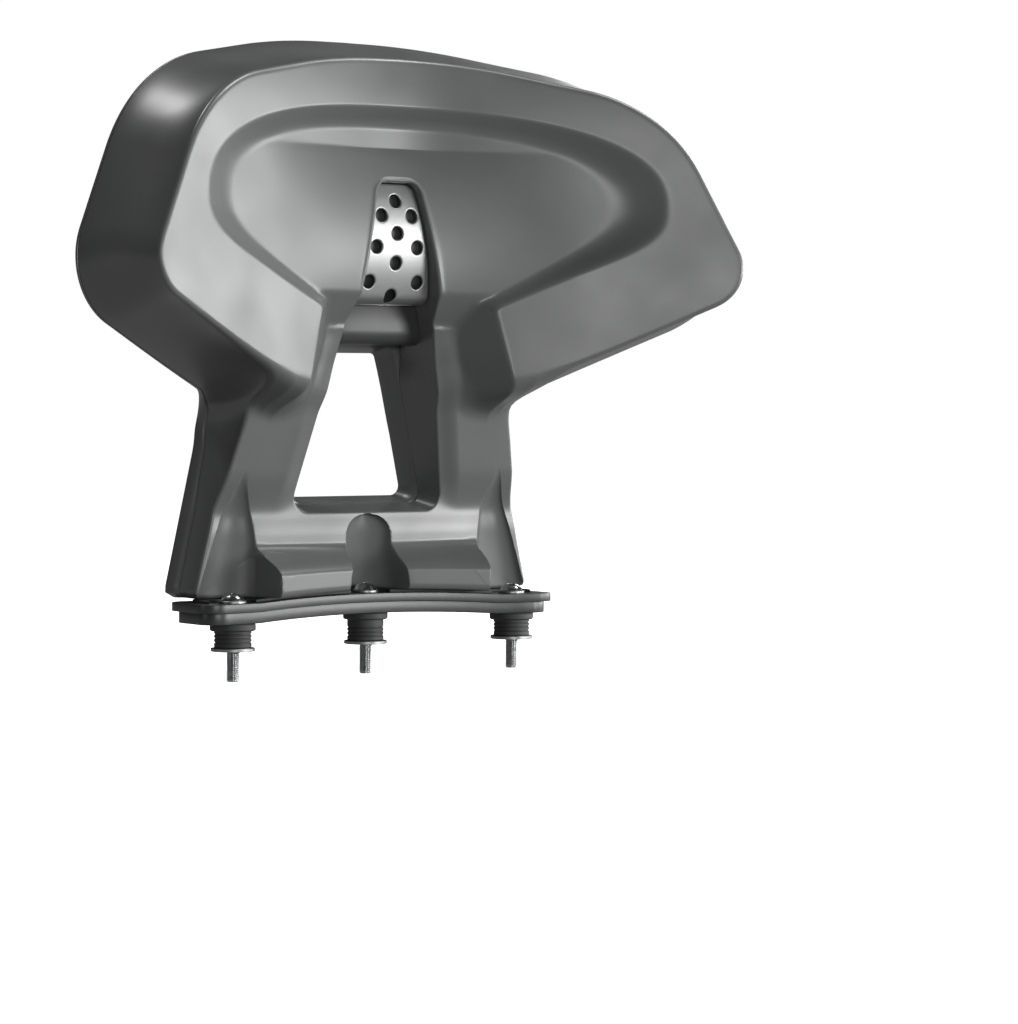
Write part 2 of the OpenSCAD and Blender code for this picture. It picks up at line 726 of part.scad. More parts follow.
// carrier behind the insert plate, with the crossbar of the opening
bar_r = 9;
bar_front = 0;
carrier_back = 10;
carrier_t = 3;
carrier_gap = 4;
carrier_fit = 0.4;
lug_r = 6.5;
carrier_screw_z = [bar_z + bar_h + 8, slot_z - 14];
carrier_screw_in = 10;
module at_carrier_screws() {
    for (sx = [-1, 1]) for (z = carrier_screw_z)
        translate([sx * (opening_x(z) + wall + 4), flange_y, z]) rotate([-90, 0, 0]) children();
}
module carrier_screws() {
    color([0.5, 0.5, 0.51])
    at_carrier_screws() translate([0, 0, carrier_t]) pan_screw(carrier_t + carrier_screw_in);
}
module insert_carrier() {
    bar_top = bar_z + bar_h;
    bar = concat(
        [[carrier_back, bar_z]],
        corner([carrier_back, bar_z], [bar_front, bar_z], [bar_front, bar_top], bar_r, 6),
        corner([bar_front, bar_z], [bar_front, bar_top], [carrier_back, bar_top], 3, 3),
        [[carrier_back, bar_top]]
    );
    function band(d0, d1) = concat(shifted(insert_line, d0), reversed(shifted(insert_line, d1)));
    back = insert_t + carrier_gap;
    color([0.2, 0.2, 0.2])
    union() {
        intersection() {
            union() {
                across(bar);
                across(band(back, back + carrier_t));
                difference() {
                    across(band(insert_t, back + 1));
                    opening_block(3, bar_z, slot_z, -40, 30);
                }
            }
            opening_block(carrier_fit, bar_z, slot_z, -40, 30);
        }
        // flange that seats behind the slot's wall, with a lug at each screw
        difference() {
            union() {
                opening_block(-wall - 2, bar_top - 4, slot_z + 2, flange_y + 0.2, flange_y + carrier_t);
                at_carrier_screws() translate([0, 0, 0.2]) cylinder(r = lug_r, h = carrier_t - 0.2, $fn = 32);
            }
            opening_block(6, bar_top + 2, slot_z - 4, -40, 30);
            at_carrier_screws() translate([0, 0, -1]) cylinder(d = screw_d + 0.5, h = 8, $fn = 32);
        }
        intersection() {
            across(concat(shifted(insert_line, back + 1), [[flange_y + 1, insert_top + 3], [flange_y + 1, insert_foot]]));
            difference() {
                opening_block(carrier_fit, bar_z, slot_z, -40, 30);
                opening_block(3, bar_z, slot_z, -40, 30);
            }
        }
    }
}

// ---- bolts, washers, bushes ----

washer_t = 1.6;
thread_relief = 0.4;
module mounting_bolts() {
    color([0.3, 0.3, 0.31])
    for (p = bolt_at) translate([p.x, p.y, plate_top + washer_t + rise(p.x)])
    difference() {
        union() {
            rotate_extrude($fn = 48) polygon(concat([[0, 0], [7, 0]],
                [for (k = [0 : 6]) let(a = 15 + k * 12.5) [7 * cos(a) / cos(15), 4.6 * (sin(a) - sin(15)) / (1 - sin(15))]], [[0, 4.6]]));
            translate([0, 0, -(plate_top + washer_t + rise(p.x))])
                cylinder(d = bolt_d - thread_relief, h = plate_top + washer_t + rise(p.x) + 1, $fn = 48);
            translate([0, 0, -(plate_top + washer_t + rise(p.x) + bolt_reach)])
                cylinder(d = bolt_d, h = bolt_reach, $fn = 48);
        }
        translate([0, 0, 2]) cylinder(d = 5.8, h = 4, $fn = 6);
    }
}
module bolt_washers() {
    color([0.45, 0.45, 0.46])
    at_bolts() translate([0, 0, plate_top]) difference() {
        cylinder(d = 2 * bolt_d, h = washer_t, $fn = 48);
        translate([0, 0, -1]) cylinder(d = bolt_d + 0.4, h = 5, $fn = 48);
    }
}
bush_washer_t = 2;
sleeve_d = bolt_d + 4;
bush_flange_d = bush_d + 5;
function bush_height(p) = bush_h - bush_washer_t + rise(abs(p.x) + bush_flange_d / 2);
module mounting_bushes() {
    color([0.07, 0.07, 0.07])
    for (p = bolt_at) translate([p.x, p.y, bush_washer_t]) difference() {
        union() {
            cylinder(d = bush_d, h = bush_height(p), $fn = 64);
            translate([0, 0, bush_height(p) - 4]) cylinder(d = bush_flange_d, h = 4, $fn = 64);
        }
        translate([0, 0, -1]) cylinder(d = sleeve_d, h = 40, $fn = 48);
    }
}
module bush_sleeves() {
    color([0.6, 0.6, 0.61])
    for (p = bolt_at) translate([p.x, p.y, bush_washer_t]) difference() {
        cylinder(d = sleeve_d, h = bush_height(p), $fn = 48);
        translate([0, 0, -1]) cylinder(d = bolt_d + 0.4, h = 40, $fn = 48);
    }
}
module bush_washers() {
    color([0.5, 0.5, 0.51])
    for (p = bolt_at) translate([p.x, p.y, 0]) difference() {
        cylinder(d = bush_d + 4, h = bush_washer_t, $fn = 64);
        translate([0, 0, -1]) cylinder(d = bolt_d + 0.4, h = 5, $fn = 48);
    }
}

front_shell();
rear_cover();
insert_plate();
insert_carrier();
left_post();
right_post();
upper_crossbar();
lower_crossbar();
left_wing_arm();
right_wing_arm();
base_plate();
lower_plate();
foot_gasket();
carrier_screws();
cover_spacers();
cover_screws();
shell_screws();
mounting_bolts();
bolt_washers();
mounting_bushes();
bush_sleeves();
bush_washers();
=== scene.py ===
"""Looks of the passenger backrest: two moulded shells with a perforated metal insert,
standing on bowed steel plates with rubber bushes. Sizes are in millimetres, in the
row frame, and turned to metres as each mesh is made."""

import math

import bmesh
import bpy
import numpy as np
from mathutils import Euler, Matrix, Vector
from mathutils.geometry import delaunay_2d_cdt


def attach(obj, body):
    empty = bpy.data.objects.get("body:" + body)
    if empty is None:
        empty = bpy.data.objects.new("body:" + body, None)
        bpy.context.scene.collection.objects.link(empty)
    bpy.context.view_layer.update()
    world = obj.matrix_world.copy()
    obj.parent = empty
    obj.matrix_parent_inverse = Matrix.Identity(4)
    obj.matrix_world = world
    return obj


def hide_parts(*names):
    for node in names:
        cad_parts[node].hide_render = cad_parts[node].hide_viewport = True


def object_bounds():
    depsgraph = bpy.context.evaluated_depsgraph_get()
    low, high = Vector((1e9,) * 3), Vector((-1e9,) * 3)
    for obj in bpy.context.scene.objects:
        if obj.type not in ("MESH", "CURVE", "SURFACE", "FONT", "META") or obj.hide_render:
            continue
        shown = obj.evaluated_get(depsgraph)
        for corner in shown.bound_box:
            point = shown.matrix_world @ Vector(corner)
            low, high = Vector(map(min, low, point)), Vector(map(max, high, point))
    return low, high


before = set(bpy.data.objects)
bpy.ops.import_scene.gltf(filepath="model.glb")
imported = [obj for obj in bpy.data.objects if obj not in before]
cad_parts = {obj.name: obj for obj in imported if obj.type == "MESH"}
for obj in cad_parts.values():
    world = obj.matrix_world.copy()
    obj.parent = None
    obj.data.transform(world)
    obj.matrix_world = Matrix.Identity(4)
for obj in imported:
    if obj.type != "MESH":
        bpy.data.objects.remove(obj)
cad_box = [list(c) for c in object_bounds()]
MM = 0.001

# ------------------------------------------------------------------ sizes
# Head of the shell: the wings' face, its recess and its outline.
TIP_X, TIP_Z, TOP_Z = 201.0, 223.0, 349.5
FACE_Y, REAR_Y = 30.0, 42.0
WING_SLOPE, WING_BEND = 0.55, 85.0
HEAD_FLARE, LEG_FLARE = 15.0, 8.0
TIP_R, SHOULDER_R, WAIST_R = 26.0, 90.0, 30.0
RECESS_X, RECESS_Z, RECESS_H = 158.0, 263.0, 57.0
RECESS_DEPTH, RECESS_CROWN, RECESS_WALL = 10.5, 9.5, 1.1
# How square the recess's upper rim is (2 is an ellipse), and how fast it deepens at its ends.
RIM_POWER, RIM_SIDE = 2.3, 80.0
# The wings' inner edges start at the throat's top corner.
THROAT_X, THROAT_Z, THROAT_TAPER, INNER_SLOPE = 60.0, 202.0, 0.25, 0.443
# Lower edge of the wings' face: low on the thighs, rising along the wings.
THIGH_X, THIGH_Z = 84.0, 155.0
# Legs and the opening between them.
FOOT_X, LEG_TAPER, FOOT_Z = 118.0, 0.234, 30.0
KNEE_Y, KNEE_Z, KNEE_LEAN, SHIN_H = -5.0, 148.0, 0.24, 57.0
TOE_BULGE, TOE_BULGE_MID, TOE_H, THIGH_CROWN = 24.0, 13.0, 32.0, 4.5
# Outer pockets: inner edge at the foot, its lean inwards, height, depth, the lip's setback.
SIDE_NICHE_X, SIDE_NICHE_LEAN, SIDE_NICHE_H = 77.5, 12.5, 73.0
SIDE_NICHE_DEPTH, LIP_BACK = 9.0, 3.5
# Centre pocket: half widths on the shin and at the foot, height, depths at foot and top.
MID_NICHE_X, MID_NICHE_FOOT_X, MID_NICHE_H = 16.0, 18.5, 48.5
MID_NICHE_DEPTH, MID_NICHE_TOP_DEPTH = 15.0, 6.0
# Steepness of the toes' end walls.
TOE_END = 6.0
WINDOW_X, WINDOW_Z, WINDOW_TAPER = 53.5, 80.0, 0.2035
SLOT_Z, BAR_Z, BAR_H = 276.0, 180.0, 26.0
WINDOW_DRAFT = 9.0
SLOT_R = 7.0
# Walls and the seam between the two mouldings.
WALL, SEAM_GAP = 4.0, 0.3
COVER_BAND, HEAD_BAND, COVER_CROWN = 16.0, 6.0, 7.0
FLANGE_Y = 2.0
# Edges' radii.
HEAD_EDGE_R, LEG_EDGE_R, OPENING_EDGE_R, SEAM_EDGE_R = 3.5, 2.0, 1.2, 0.6
# Insert.
INSERT_T, INSERT_HOLE, INSERT_GAP, HOLE_RIM_R = 1.5, 8.0, 0.6, 0.8
# Stack on the bolts.
BOLT_SPAN, BOLT_MID_Y, BOLT_D, BOLT_REACH = 197.0, 12.0, 8.0, 18.0
PLATE_RISE, PLATE_TOP, WASHER_T = 3.0, 28.0, 1.6
POST_X = 63.0


# ------------------------------------------------------------------ forms of the shell
def mix(a, b, t):
    return a + (b - a) * t


def ease(a, b, x):
    t = np.clip((x - a) / (b - a), 0.0, 1.0)
    return t * t * (3 - 2 * t)


def smin(a, b, k):
    h = np.maximum(k - np.abs(a - b), 0) / k
    return np.minimum(a, b) - h * h * k / 4


def smax(a, b, k):
    return -smin(-a, -b, k)


def wrap(x):
    """Plan line of the wings, a hyperbola that is flat between them."""
    return WING_SLOPE * (np.sqrt(x * x + WING_BEND**2) - WING_BEND)


def rise(x):
    """Rise of the bowed plates, and of the soles that stand on them."""
    return PLATE_RISE * np.maximum(0, 1 - (x / (BOLT_SPAN / 2 - 14)) ** 2)


def wing_y(x):
    return -FACE_Y - wrap(x)


def brow_back(z):
    """How far the face rolls back towards its top edge."""
    return 2.6 * np.clip((z - 308) / 42, 0, 1) ** 2


def opening_x(z):
    return WINDOW_X - WINDOW_TAPER * (z - WINDOW_Z)


def leg_x(z):
    return FOOT_X - LEG_TAPER * (z - FOOT_Z)


def recess_in(x, z):
    """Depth inside the recess's rim, across its upper edge and the wings' inner edges."""
    a = np.abs(x) / RECESS_X
    b = np.maximum(0, z - RECESS_Z) / RECESS_H
    f = (a**RIM_POWER + b**RIM_POWER) ** (1 / RIM_POWER)
    upper = (1 - f) * mix(RECESS_H, RIM_SIDE, np.minimum(1, a * a))
    lower = (z - THROAT_Z - INNER_SLOPE * (np.abs(x) - THROAT_X)) / math.hypot(1, INNER_SLOPE)
    return smin(upper, lower, 14)


def throat_in(x, z):
    side = (THROAT_X + (THROAT_Z - z) * THROAT_TAPER - np.abs(x)) / math.hypot(1, THROAT_TAPER)
    return np.minimum(side, THROAT_Z + 18 - z)


def inside(x, z):
    return smax(recess_in(x, z), throat_in(x, z), 4)


def toe(x):
    """Forward swell of the toes, which stop at the outer pockets."""
    a = np.abs(x)
    return mix(TOE_BULGE_MID, TOE_BULGE, np.clip((a - 16) / 64, 0, 1)) * (1 - ease(92, 102, a))


def shin_y(z):
    """Front of the legs without the toes: leans back from the knee, upright at the shin."""
    shin = FOOT_Z + SHIN_H
    lean = KNEE_Y + KNEE_LEAN * (KNEE_Z - smax(z, shin, 12))
    return lean + 1.2 * np.maximum(0, z - BAR_Z - 10) - 1.5 * ease(shin, FOOT_Z + 36, z)


def thigh(x, z):
    """Forward crown of the thighs, which fall back towards the opening's edge."""
    across = ease(-1, 13, np.abs(x) - opening_x(z))
    return THIGH_CROWN * across * ease(78, 104, z) * ease(200, 160, z)


def leg_y(x, z):
    swell = toe(x) * ease(FOOT_Z + TOE_H, FOOT_Z + 13, z)
    return shin_y(z) - thigh(x, z) - swell + 2.5 * ease(FOOT_Z + 4, FOOT_Z - 4, z)


def floor_y(x, z):
    crown = np.maximum(0, 1 - ((z - 238) / 58) ** 2) * (1 - ease(20, 135, np.abs(x)))
    return wing_y(x) + RECESS_DEPTH - RECESS_CROWN * crown + 0.6 * np.maximum(0, 210 - z)


def crease_z(x):
    a = np.abs(x) - THIGH_X
    return THIGH_Z + 0.16 * np.minimum(0, a) + 0.43 * np.maximum(0, a)


def head_y(x, z):
    s = smax(inside(x, z), 0, 1.2)
    valley = smin(floor_y(x, z), leg_y(x, z), 6)
    wall_slope = RECESS_WALL + 0.3 * ease(185, 150, z)
    ledge_slope = mix(1.1, 3.2, ease(46, 91, np.abs(x)))
    face = wing_y(x) + brow_back(z) + wall_slope * s
    return smin(face, valley, 4) + ledge_slope * smax(crease_z(x) - z, 0, 6)


def side_niche_y(a, z):
    """Pocket over an outer bolt: a trough with a steep wall on the middle's side that runs
    out to a thin lip along the leg's edge."""
    t = np.clip((z - FOOT_Z) / SIDE_NICHE_H, 0, 1)
    inner = SIDE_NICHE_X + SIDE_NICHE_LEAN * t**3
    outer = leg_x(z) - 2 - 8 * t**1.5
    u = (a - (inner + outer) / 2) / np.maximum((outer - inner) / 2, 0.3)
    level = shin_y(z) - thigh(a, z) - 0.3 + LIP_BACK * (1 - t * t) * np.clip((u + 1) / 2, 0, 1)
    hollow = SIDE_NICHE_DEPTH * (1 - t) ** 0.7 * np.sqrt(np.clip(1 - u * u, 0, 1))
    return np.where(t < 1, level + hollow - TOE_END * np.maximum(0, inner - a), -1000)


def mid_niche_y(a, z):
    """Pocket over the centre bolt: an upright niche with a square-shouldered top."""
    t = np.clip((z - FOOT_Z) / MID_NICHE_H, 0, 1)
    half = mix(MID_NICHE_X, MID_NICHE_FOOT_X, ease(55, 30, z)) * np.sqrt(1 - t**9)
    u = a / np.maximum(half, 0.3)
    hollow = mix(MID_NICHE_DEPTH, MID_NICHE_TOP_DEPTH, t) * np.sqrt(np.clip(1 - u * u, 0, 1))
    return np.where(t < 1, shin_y(z) - 0.3 + hollow - TOE_END * np.maximum(0, a - half), -1000)


def slot_distance(x, z):
    """Distance outside the rounded outline of the slot."""
    qx = np.abs(x) - (opening_x(z) - SLOT_R)
    qz = z - (SLOT_Z - SLOT_R)
    return np.minimum(np.maximum(qx, qz), 0) + np.hypot(np.maximum(qx, 0), np.maximum(qz, 0)) - SLOT_R


def front_y(x, z):
    a = np.abs(x)
    solid = smin(head_y(x, z), leg_y(x, z), mix(4, 12, ease(172, 150, z)))
    solid = smax(smax(solid, side_niche_y(a, z), 1.2), mid_niche_y(a, z), 1.2)
    bead = 0.7 * np.exp(-(((slot_distance(x, z) - 1.8) / 1.2) ** 2)) * ease(200, 225, z)
    return solid - bead


def rear_edge_y(x, z):
    return REAR_Y - wrap(x) * ease(125, 170, z)


def seam_y(x, z):
    return rear_edge_y(x, z) - mix(COVER_BAND, HEAD_BAND, ease(110, 190, z))


# ------------------------------------------------------------------ outlines
def corner(a, b, c, r, n=24):
    """Arc of radius r that rounds the corner b of the path a-b-c."""
    a, b, c = (np.asarray(p, float) for p in (a, b, c))
    u = (a - b) / np.linalg.norm(a - b)
    v = (c - b) / np.linalg.norm(c - b)
    half = math.acos(np.clip(u @ v, -1, 1)) / 2
    centre = b + (u + v) / np.linalg.norm(u + v) * r / math.sin(half)
    p, q = b + u * r / math.tan(half), b + v * r / math.tan(half)
    a0 = math.atan2(*(p - centre)[::-1])
    turn = math.atan2(*(q - centre)[::-1]) - a0
    turn = (turn + math.pi) % (2 * math.pi) - math.pi
    angles = a0 + turn * np.arange(n + 1) / n
    return centre + r * np.stack([np.cos(angles), np.sin(angles)], -1)


def spaced(path, n):
    """n points spaced evenly along a path, its last point left out."""
    path = np.asarray(path, float)
    at = np.concatenate([[0], np.cumsum(np.linalg.norm(np.diff(path, axis=0), axis=1))])
    s = at[-1] * np.arange(n) / n
    return np.stack([np.interp(s, at, path[:, 0]), np.interp(s, at, path[:, 1])], -1)


def full_path(runs, counts):
    """Closed outline from the runs of its right half, top centre to bottom centre."""
    half = np.concatenate([spaced(r, n) for r, n in zip(runs, counts)] + [[runs[-1][-1]]])
    return np.concatenate([half, half[-2:0:-1] * [-1, 1]])


def outward(path):
    """Unit normals of a closed clockwise outline."""
    t = np.roll(path, -1, 0) - np.roll(path, 1, 0)
    t /= np.linalg.norm(t, axis=1)[:, None]
    return np.stack([-t[:, 1], t[:, 0]], -1)


TOP_C = (0, TOP_Z)
BROW = (45, TOP_Z - 1)
SHOULDER = (TIP_X - 43.4, TOP_Z - 24.4)
TIP = (TIP_X + 8.5, TIP_Z - 8.4)
WAIST = (leg_x(156.5), 156.5)
FOOT = (FOOT_X, FOOT_Z)
brow_arc = corner(TOP_C, BROW, SHOULDER, 350)
shoulder_arc = corner(BROW, SHOULDER, TIP, SHOULDER_R)
tip_arc = corner(SHOULDER, TIP, WAIST, TIP_R)
waist_arc = corner(TIP, WAIST, FOOT, WAIST_R)
foot_arc = corner(WAIST, FOOT, (0, FOOT_Z), 5)
rim_runs = [
    [TOP_C, *brow_arc, *shoulder_arc],
    [shoulder_arc[-1], *tip_arc],
    [tip_arc[-1], *waist_arc],
    [waist_arc[-1], *foot_arc],
    [foot_arc[-1], (78, FOOT_Z)],
    [(78, FOOT_Z), (72, FOOT_Z)],
    [(72, FOOT_Z), (23, FOOT_Z)],
    [(23, FOOT_Z), (18, FOOT_Z)],
    [(18, FOOT_Z), (0, FOOT_Z)],
]
SLOT_CORNER = (opening_x(SLOT_Z), SLOT_Z)
SILL_CORNER = (opening_x(WINDOW_Z), WINDOW_Z)
slot_arc = corner((0, SLOT_Z), SLOT_CORNER, SILL_CORNER, SLOT_R)
sill_arc = corner(SLOT_CORNER, SILL_CORNER, (0, WINDOW_Z), 10)
side = {z: (opening_x(z), z) for z in (258, 236, 163)}
hole_runs = [
    [(0, SLOT_Z), *slot_arc, side[258]],
    [side[258], side[236]],
    [side[236], side[163]],
    [side[163], *sill_arc],
    [sill_arc[-1], (36, WINDOW_Z)],
    [(36, WINDOW_Z), (34, WINDOW_Z)],
    [(34, WINDOW_Z), (18, WINDOW_Z)],
    [(18, WINDOW_Z), (16, WINDOW_Z)],
    [(16, WINDOW_Z), (0, WINDOW_Z)],
]
COLUMNS = [68, 46, 48, 46, 32, 12, 22, 12, 20]
rim = full_path(rim_runs, COLUMNS)
hole = full_path(hole_runs, COLUMNS)
rim_out, hole_out = outward(rim), outward(hole)
edge_r = mix(LEG_EDGE_R, HEAD_EDGE_R, ease(115, 165, rim[:, 1]))


def flare(p):
    """How far the shell's widest line stands outside its front edge."""
    head = HEAD_FLARE + 2 * np.clip(np.abs(p[:, 0]) / TIP_X, 0, 1)
    return mix(LEG_FLARE, head, ease(115, 165, p[:, 1])) * ease(FOOT_Z, FOOT_Z + 4, p[:, 1])


def crossing(a, b, depth):
    """Fraction of the way from a to b at which the depth inside the rim is met."""
    lo, hi = np.zeros(len(a)), np.ones(len(a))
    for _ in range(18):
        m = (lo + hi) / 2
        q = mix(a, b, m[:, None])
        deeper = inside(q[:, 0], q[:, 1]) > depth
        lo, hi = np.where(deeper, m, lo), np.where(deeper, hi, m)
    return (lo + hi) / 2


def fold(a, b, depth, plain):
    folded = (inside(a[:, 0], a[:, 1]) > depth + 1) & (b[:, 1] > 130)
    return np.where(folded, crossing(a, b, depth), plain)


wall_foot_t = fold(hole, rim, 12, 0.4)
wall_top_t = fold(hole, rim, 0, 0.65)


def ray_t(t):
    if t < 1:
        return wall_foot_t * t
    if t < 2:
        return mix(wall_foot_t, wall_top_t, t - 1)
    return mix(wall_top_t, 1.0, t - 2)


def ring(q, y):
    """Points of one ring: outline points q (across and up) at depth y, on the bowed plate."""
    lift = rise(q[:, 0]) * ease(FOOT_Z + 25, FOOT_Z, q[:, 1])
    return np.stack([q[:, 0], y, q[:, 1] + lift], -1)


def face_rings(count=96):
    """Rings over the face, close together where its section is steep or bends."""
    near = hole + hole_out * OPENING_EDGE_R
    far = rim - rim_out * edge_r[:, None]
    s = np.linspace(0, 1, 1000)
    q = mix(near, far, s[:, None, None])
    y = front_y(q[..., 0], q[..., 1])
    across = np.linalg.norm(np.diff(q, axis=0), axis=2)
    step = np.hypot(across, np.diff(y, axis=0))
    bend = np.abs(np.diff(np.arctan2(np.diff(y, axis=0), across), axis=0, prepend=0))
    bend[0] = 0
    cost = step + 5 * bend
    cost = sum(np.roll(cost, k, 1) * w for k, w in ((-1, 0.25), (0, 0.5), (1, 0.25)))
    at = np.concatenate([np.zeros((1, len(hole))), np.cumsum(cost, 0)])
    goals = np.linspace(0, 1, count)
    where = np.stack([np.interp(goals * at[-1, i], at[:, i], s) for i in range(len(hole))], 1)
    for _ in range(10):
        where = (np.roll(where, 1, 1) + 2 * where + np.roll(where, -1, 1)) / 4
    depth = np.stack([np.interp(where[:, i], s, y[:, i]) for i in range(len(hole))], 1)
    inner = (np.roll(depth, 1, 1) + np.roll(depth, -1, 1))[1:-1] + depth[:-2] + depth[2:]
    depth[1:-1] = mix(depth[1:-1], inner / 4, 0.4)
    return [ring(mix(near, far, t[:, None]), d) for t, d in zip(where, depth)]


def opening_edge_rings():
    """Rounded edge between the face and the opening's wall, from the wall to the face."""
    out = []
    for a in np.radians([90, 70, 50, 30, 12]):
        q = hole + hole_out * OPENING_EDGE_R * (1 - math.sin(a))
        out.append(ring(q, front_y(q[:, 0], q[:, 1]) + OPENING_EDGE_R * (1 - math.cos(a))))
    return out


def face_edge_rings():
    """Rounded edge between the face and the flank."""
    out = []
    for a in np.radians([12, 26, 40, 54, 68, 80, 90]):
        q = rim - rim_out * edge_r[:, None] * (1 - math.sin(a))
        out.append(ring(q, front_y(q[:, 0], q[:, 1]) + edge_r * (1 - math.cos(a))))
    return out


def swell(t):
    """Flank's section from the front edge to the rear edge: a cove that turns into a
    rounded shoulder."""
    return 0.15 * t + 0.85 * (t * t * (3 - 2 * t))


def flank_ring(t, inset, back=0.0):
    y0 = front_y(rim[:, 0], rim[:, 1]) + edge_r
    y1 = rear_edge_y(rim[:, 0], rim[:, 1])
    y = mix(y0, seam_y(rim[:, 0], rim[:, 1]), t) - back
    out = flare(rim) * swell(np.clip((y - y0) / (y1 - y0), 0, 1)) - inset
    return ring(rim + rim_out * out[:, None], y)


def wall_end_y(z):
    return mix(REAR_Y - COVER_BAND, FLANGE_Y, ease(BAR_Z - 2, BAR_Z + 14, z))


def wall_ring(t, inset, back=0.0):
    """Ring on the opening's wall, from the face to the seam."""
    draft = WINDOW_DRAFT * 0.5 * ease(BAR_Z, BAR_Z - 24, hole[:, 1])
    y0 = front_y(hole[:, 0], hole[:, 1]) + OPENING_EDGE_R
    y = mix(y0, wall_end_y(hole[:, 1]), t) - back
    return ring(hole - hole_out * (draft * t - inset)[:, None], y)


def lining_ring(t):
    a, b = hole + hole_out * WALL, rim - rim_out * WALL
    q = mix(a, b, ray_t(t)[:, None])
    reach = WALL * 0.8
    depth = np.max([front_y(q[:, 0] + dx, q[:, 1] + dz)
                    for dx, dz in ((0, 0), (reach, 0), (-reach, 0), (0, reach), (0, -reach))], 0)
    return ring(q, np.minimum(depth + WALL, seam_y(q[:, 0], q[:, 1]) - 1))


# ------------------------------------------------------------------ meshes
def link_piece(name, mesh):
    piece = bpy.data.objects.new(name, mesh)
    bpy.context.scene.collection.objects.link(piece)
    return piece


def mesh_from(name, points, faces, sharp=38):
    """Mesh in metres from points in millimetres, shaded smooth across soft edges."""
    mesh = bpy.data.meshes.new(name)
    mesh.from_pydata((np.asarray(points) * MM).tolist(), [], [list(f) for f in faces])
    mesh.validate()
    mesh.shade_smooth()
    mesh.set_sharp_from_angle(angle=math.radians(sharp))
    return mesh


def ring_mesh(name, rings, sharp=38):
    """Closed skin over rings of equal length; the last ring joins the first."""
    grid = np.stack(rings)
    m, n = grid.shape[:2]
    a = np.arange(m * n).reshape(m, n)
    b, d = np.roll(a, -1, 1), np.roll(a, -1, 0)
    c = np.roll(b, -1, 0)
    faces = np.stack([a, b, c, d], -1).reshape(-1, 4)
    return mesh_from(name, grid.reshape(-1, 3), faces, sharp)


def front_shell_mesh():
    e = SEAM_EDGE_R
    return ring_mesh("front_shell", [
        wall_ring(1, e), *[wall_ring(t, 0, back=e if t == 1 else 0) for t in np.linspace(1, 0.06, 12)],
        *opening_edge_rings(), *face_rings(), *face_edge_rings(),
        *[flank_ring(t, 0, back=e if t == 1 else 0) for t in np.linspace(0.03, 1, 26)],
        flank_ring(1, e), flank_ring(1, WALL),
        *[lining_ring(t) for t in (3, 2.75, 2.5, 2.25, 2, 1.75, 1.5, 1.25, 1, 0.66, 0.33, 0)],
        wall_ring(1, WALL),
    ])


# ------------------------------------------------------------------ rear cover
COVER_HOLE_X = opening_x(BAR_Z) - WINDOW_DRAFT / 2
COVER_SILL_Z = WINDOW_Z + WINDOW_DRAFT / 2
COVER_SILL_X = opening_x(COVER_SILL_Z) - WINDOW_DRAFT / 2
cover_top_arc = corner((0, BAR_Z), (COVER_HOLE_X, BAR_Z), (COVER_SILL_X, COVER_SILL_Z), 7)
cover_sill_arc = corner((COVER_HOLE_X, BAR_Z), (COVER_SILL_X, COVER_SILL_Z), (0, COVER_SILL_Z), 10)
cover_side = [mix(cover_top_arc[-1], cover_sill_arc[0], t) for t in (0.15, 0.35)]
cover_hole = full_path([
    [(0, BAR_Z), *cover_top_arc],
    [cover_top_arc[-1], cover_side[0]],
    [cover_side[0], cover_side[1]],
    [cover_side[1], *cover_sill_arc],
    [cover_sill_arc[-1], (27, COVER_SILL_Z)],
    [(27, COVER_SILL_Z), (25, COVER_SILL_Z)],
    [(25, COVER_SILL_Z), (12, COVER_SILL_Z)],
    [(12, COVER_SILL_Z), (10, COVER_SILL_Z)],
    [(10, COVER_SILL_Z), (0, COVER_SILL_Z)],
], COLUMNS)
cover_out = outward(cover_hole)


def cover_edge_ring(k, inset):
    y0 = front_y(rim[:, 0], rim[:, 1]) + edge_r
    y1 = rear_edge_y(rim[:, 0], rim[:, 1])
    y = mix(seam_y(rim[:, 0], rim[:, 1]) + SEAM_GAP, y1, k)
    out = flare(rim) * swell(np.clip((y - y0) / (y1 - y0), 0, 1)) - inset
    return ring(rim + rim_out * out[:, None], y)


def cover_y(x, z):
    crown = np.maximum(0, 1 - (x / (TIP_X + 10)) ** 2 - ((z - TIP_Z - 22) / 120) ** 2)
    return rear_edge_y(x, z) + COVER_CROWN * crown


def edge_in(z):
    return mix(4, 9, ease(FOOT_Z + 10, FOOT_Z + 50, z))


def cover_face_ring(t, depth):
    edge = rim + rim_out * (flare(rim) - edge_in(rim[:, 1]))[:, None]
    q = mix(edge, cover_hole - cover_out * WINDOW_DRAFT / 2, t)
    return ring(q, cover_y(q[:, 0], q[:, 1]) - depth)


def cover_wall_ring(t, inset):
    """Ring on the window's wall in the cover, t from the seam to the rear face."""
    q = cover_hole - cover_out * (WINDOW_DRAFT / 2 * t - inset)
    front = REAR_Y - COVER_BAND + SEAM_GAP
    return ring(q, mix(front, cover_y(q[:, 0], q[:, 1]), t))


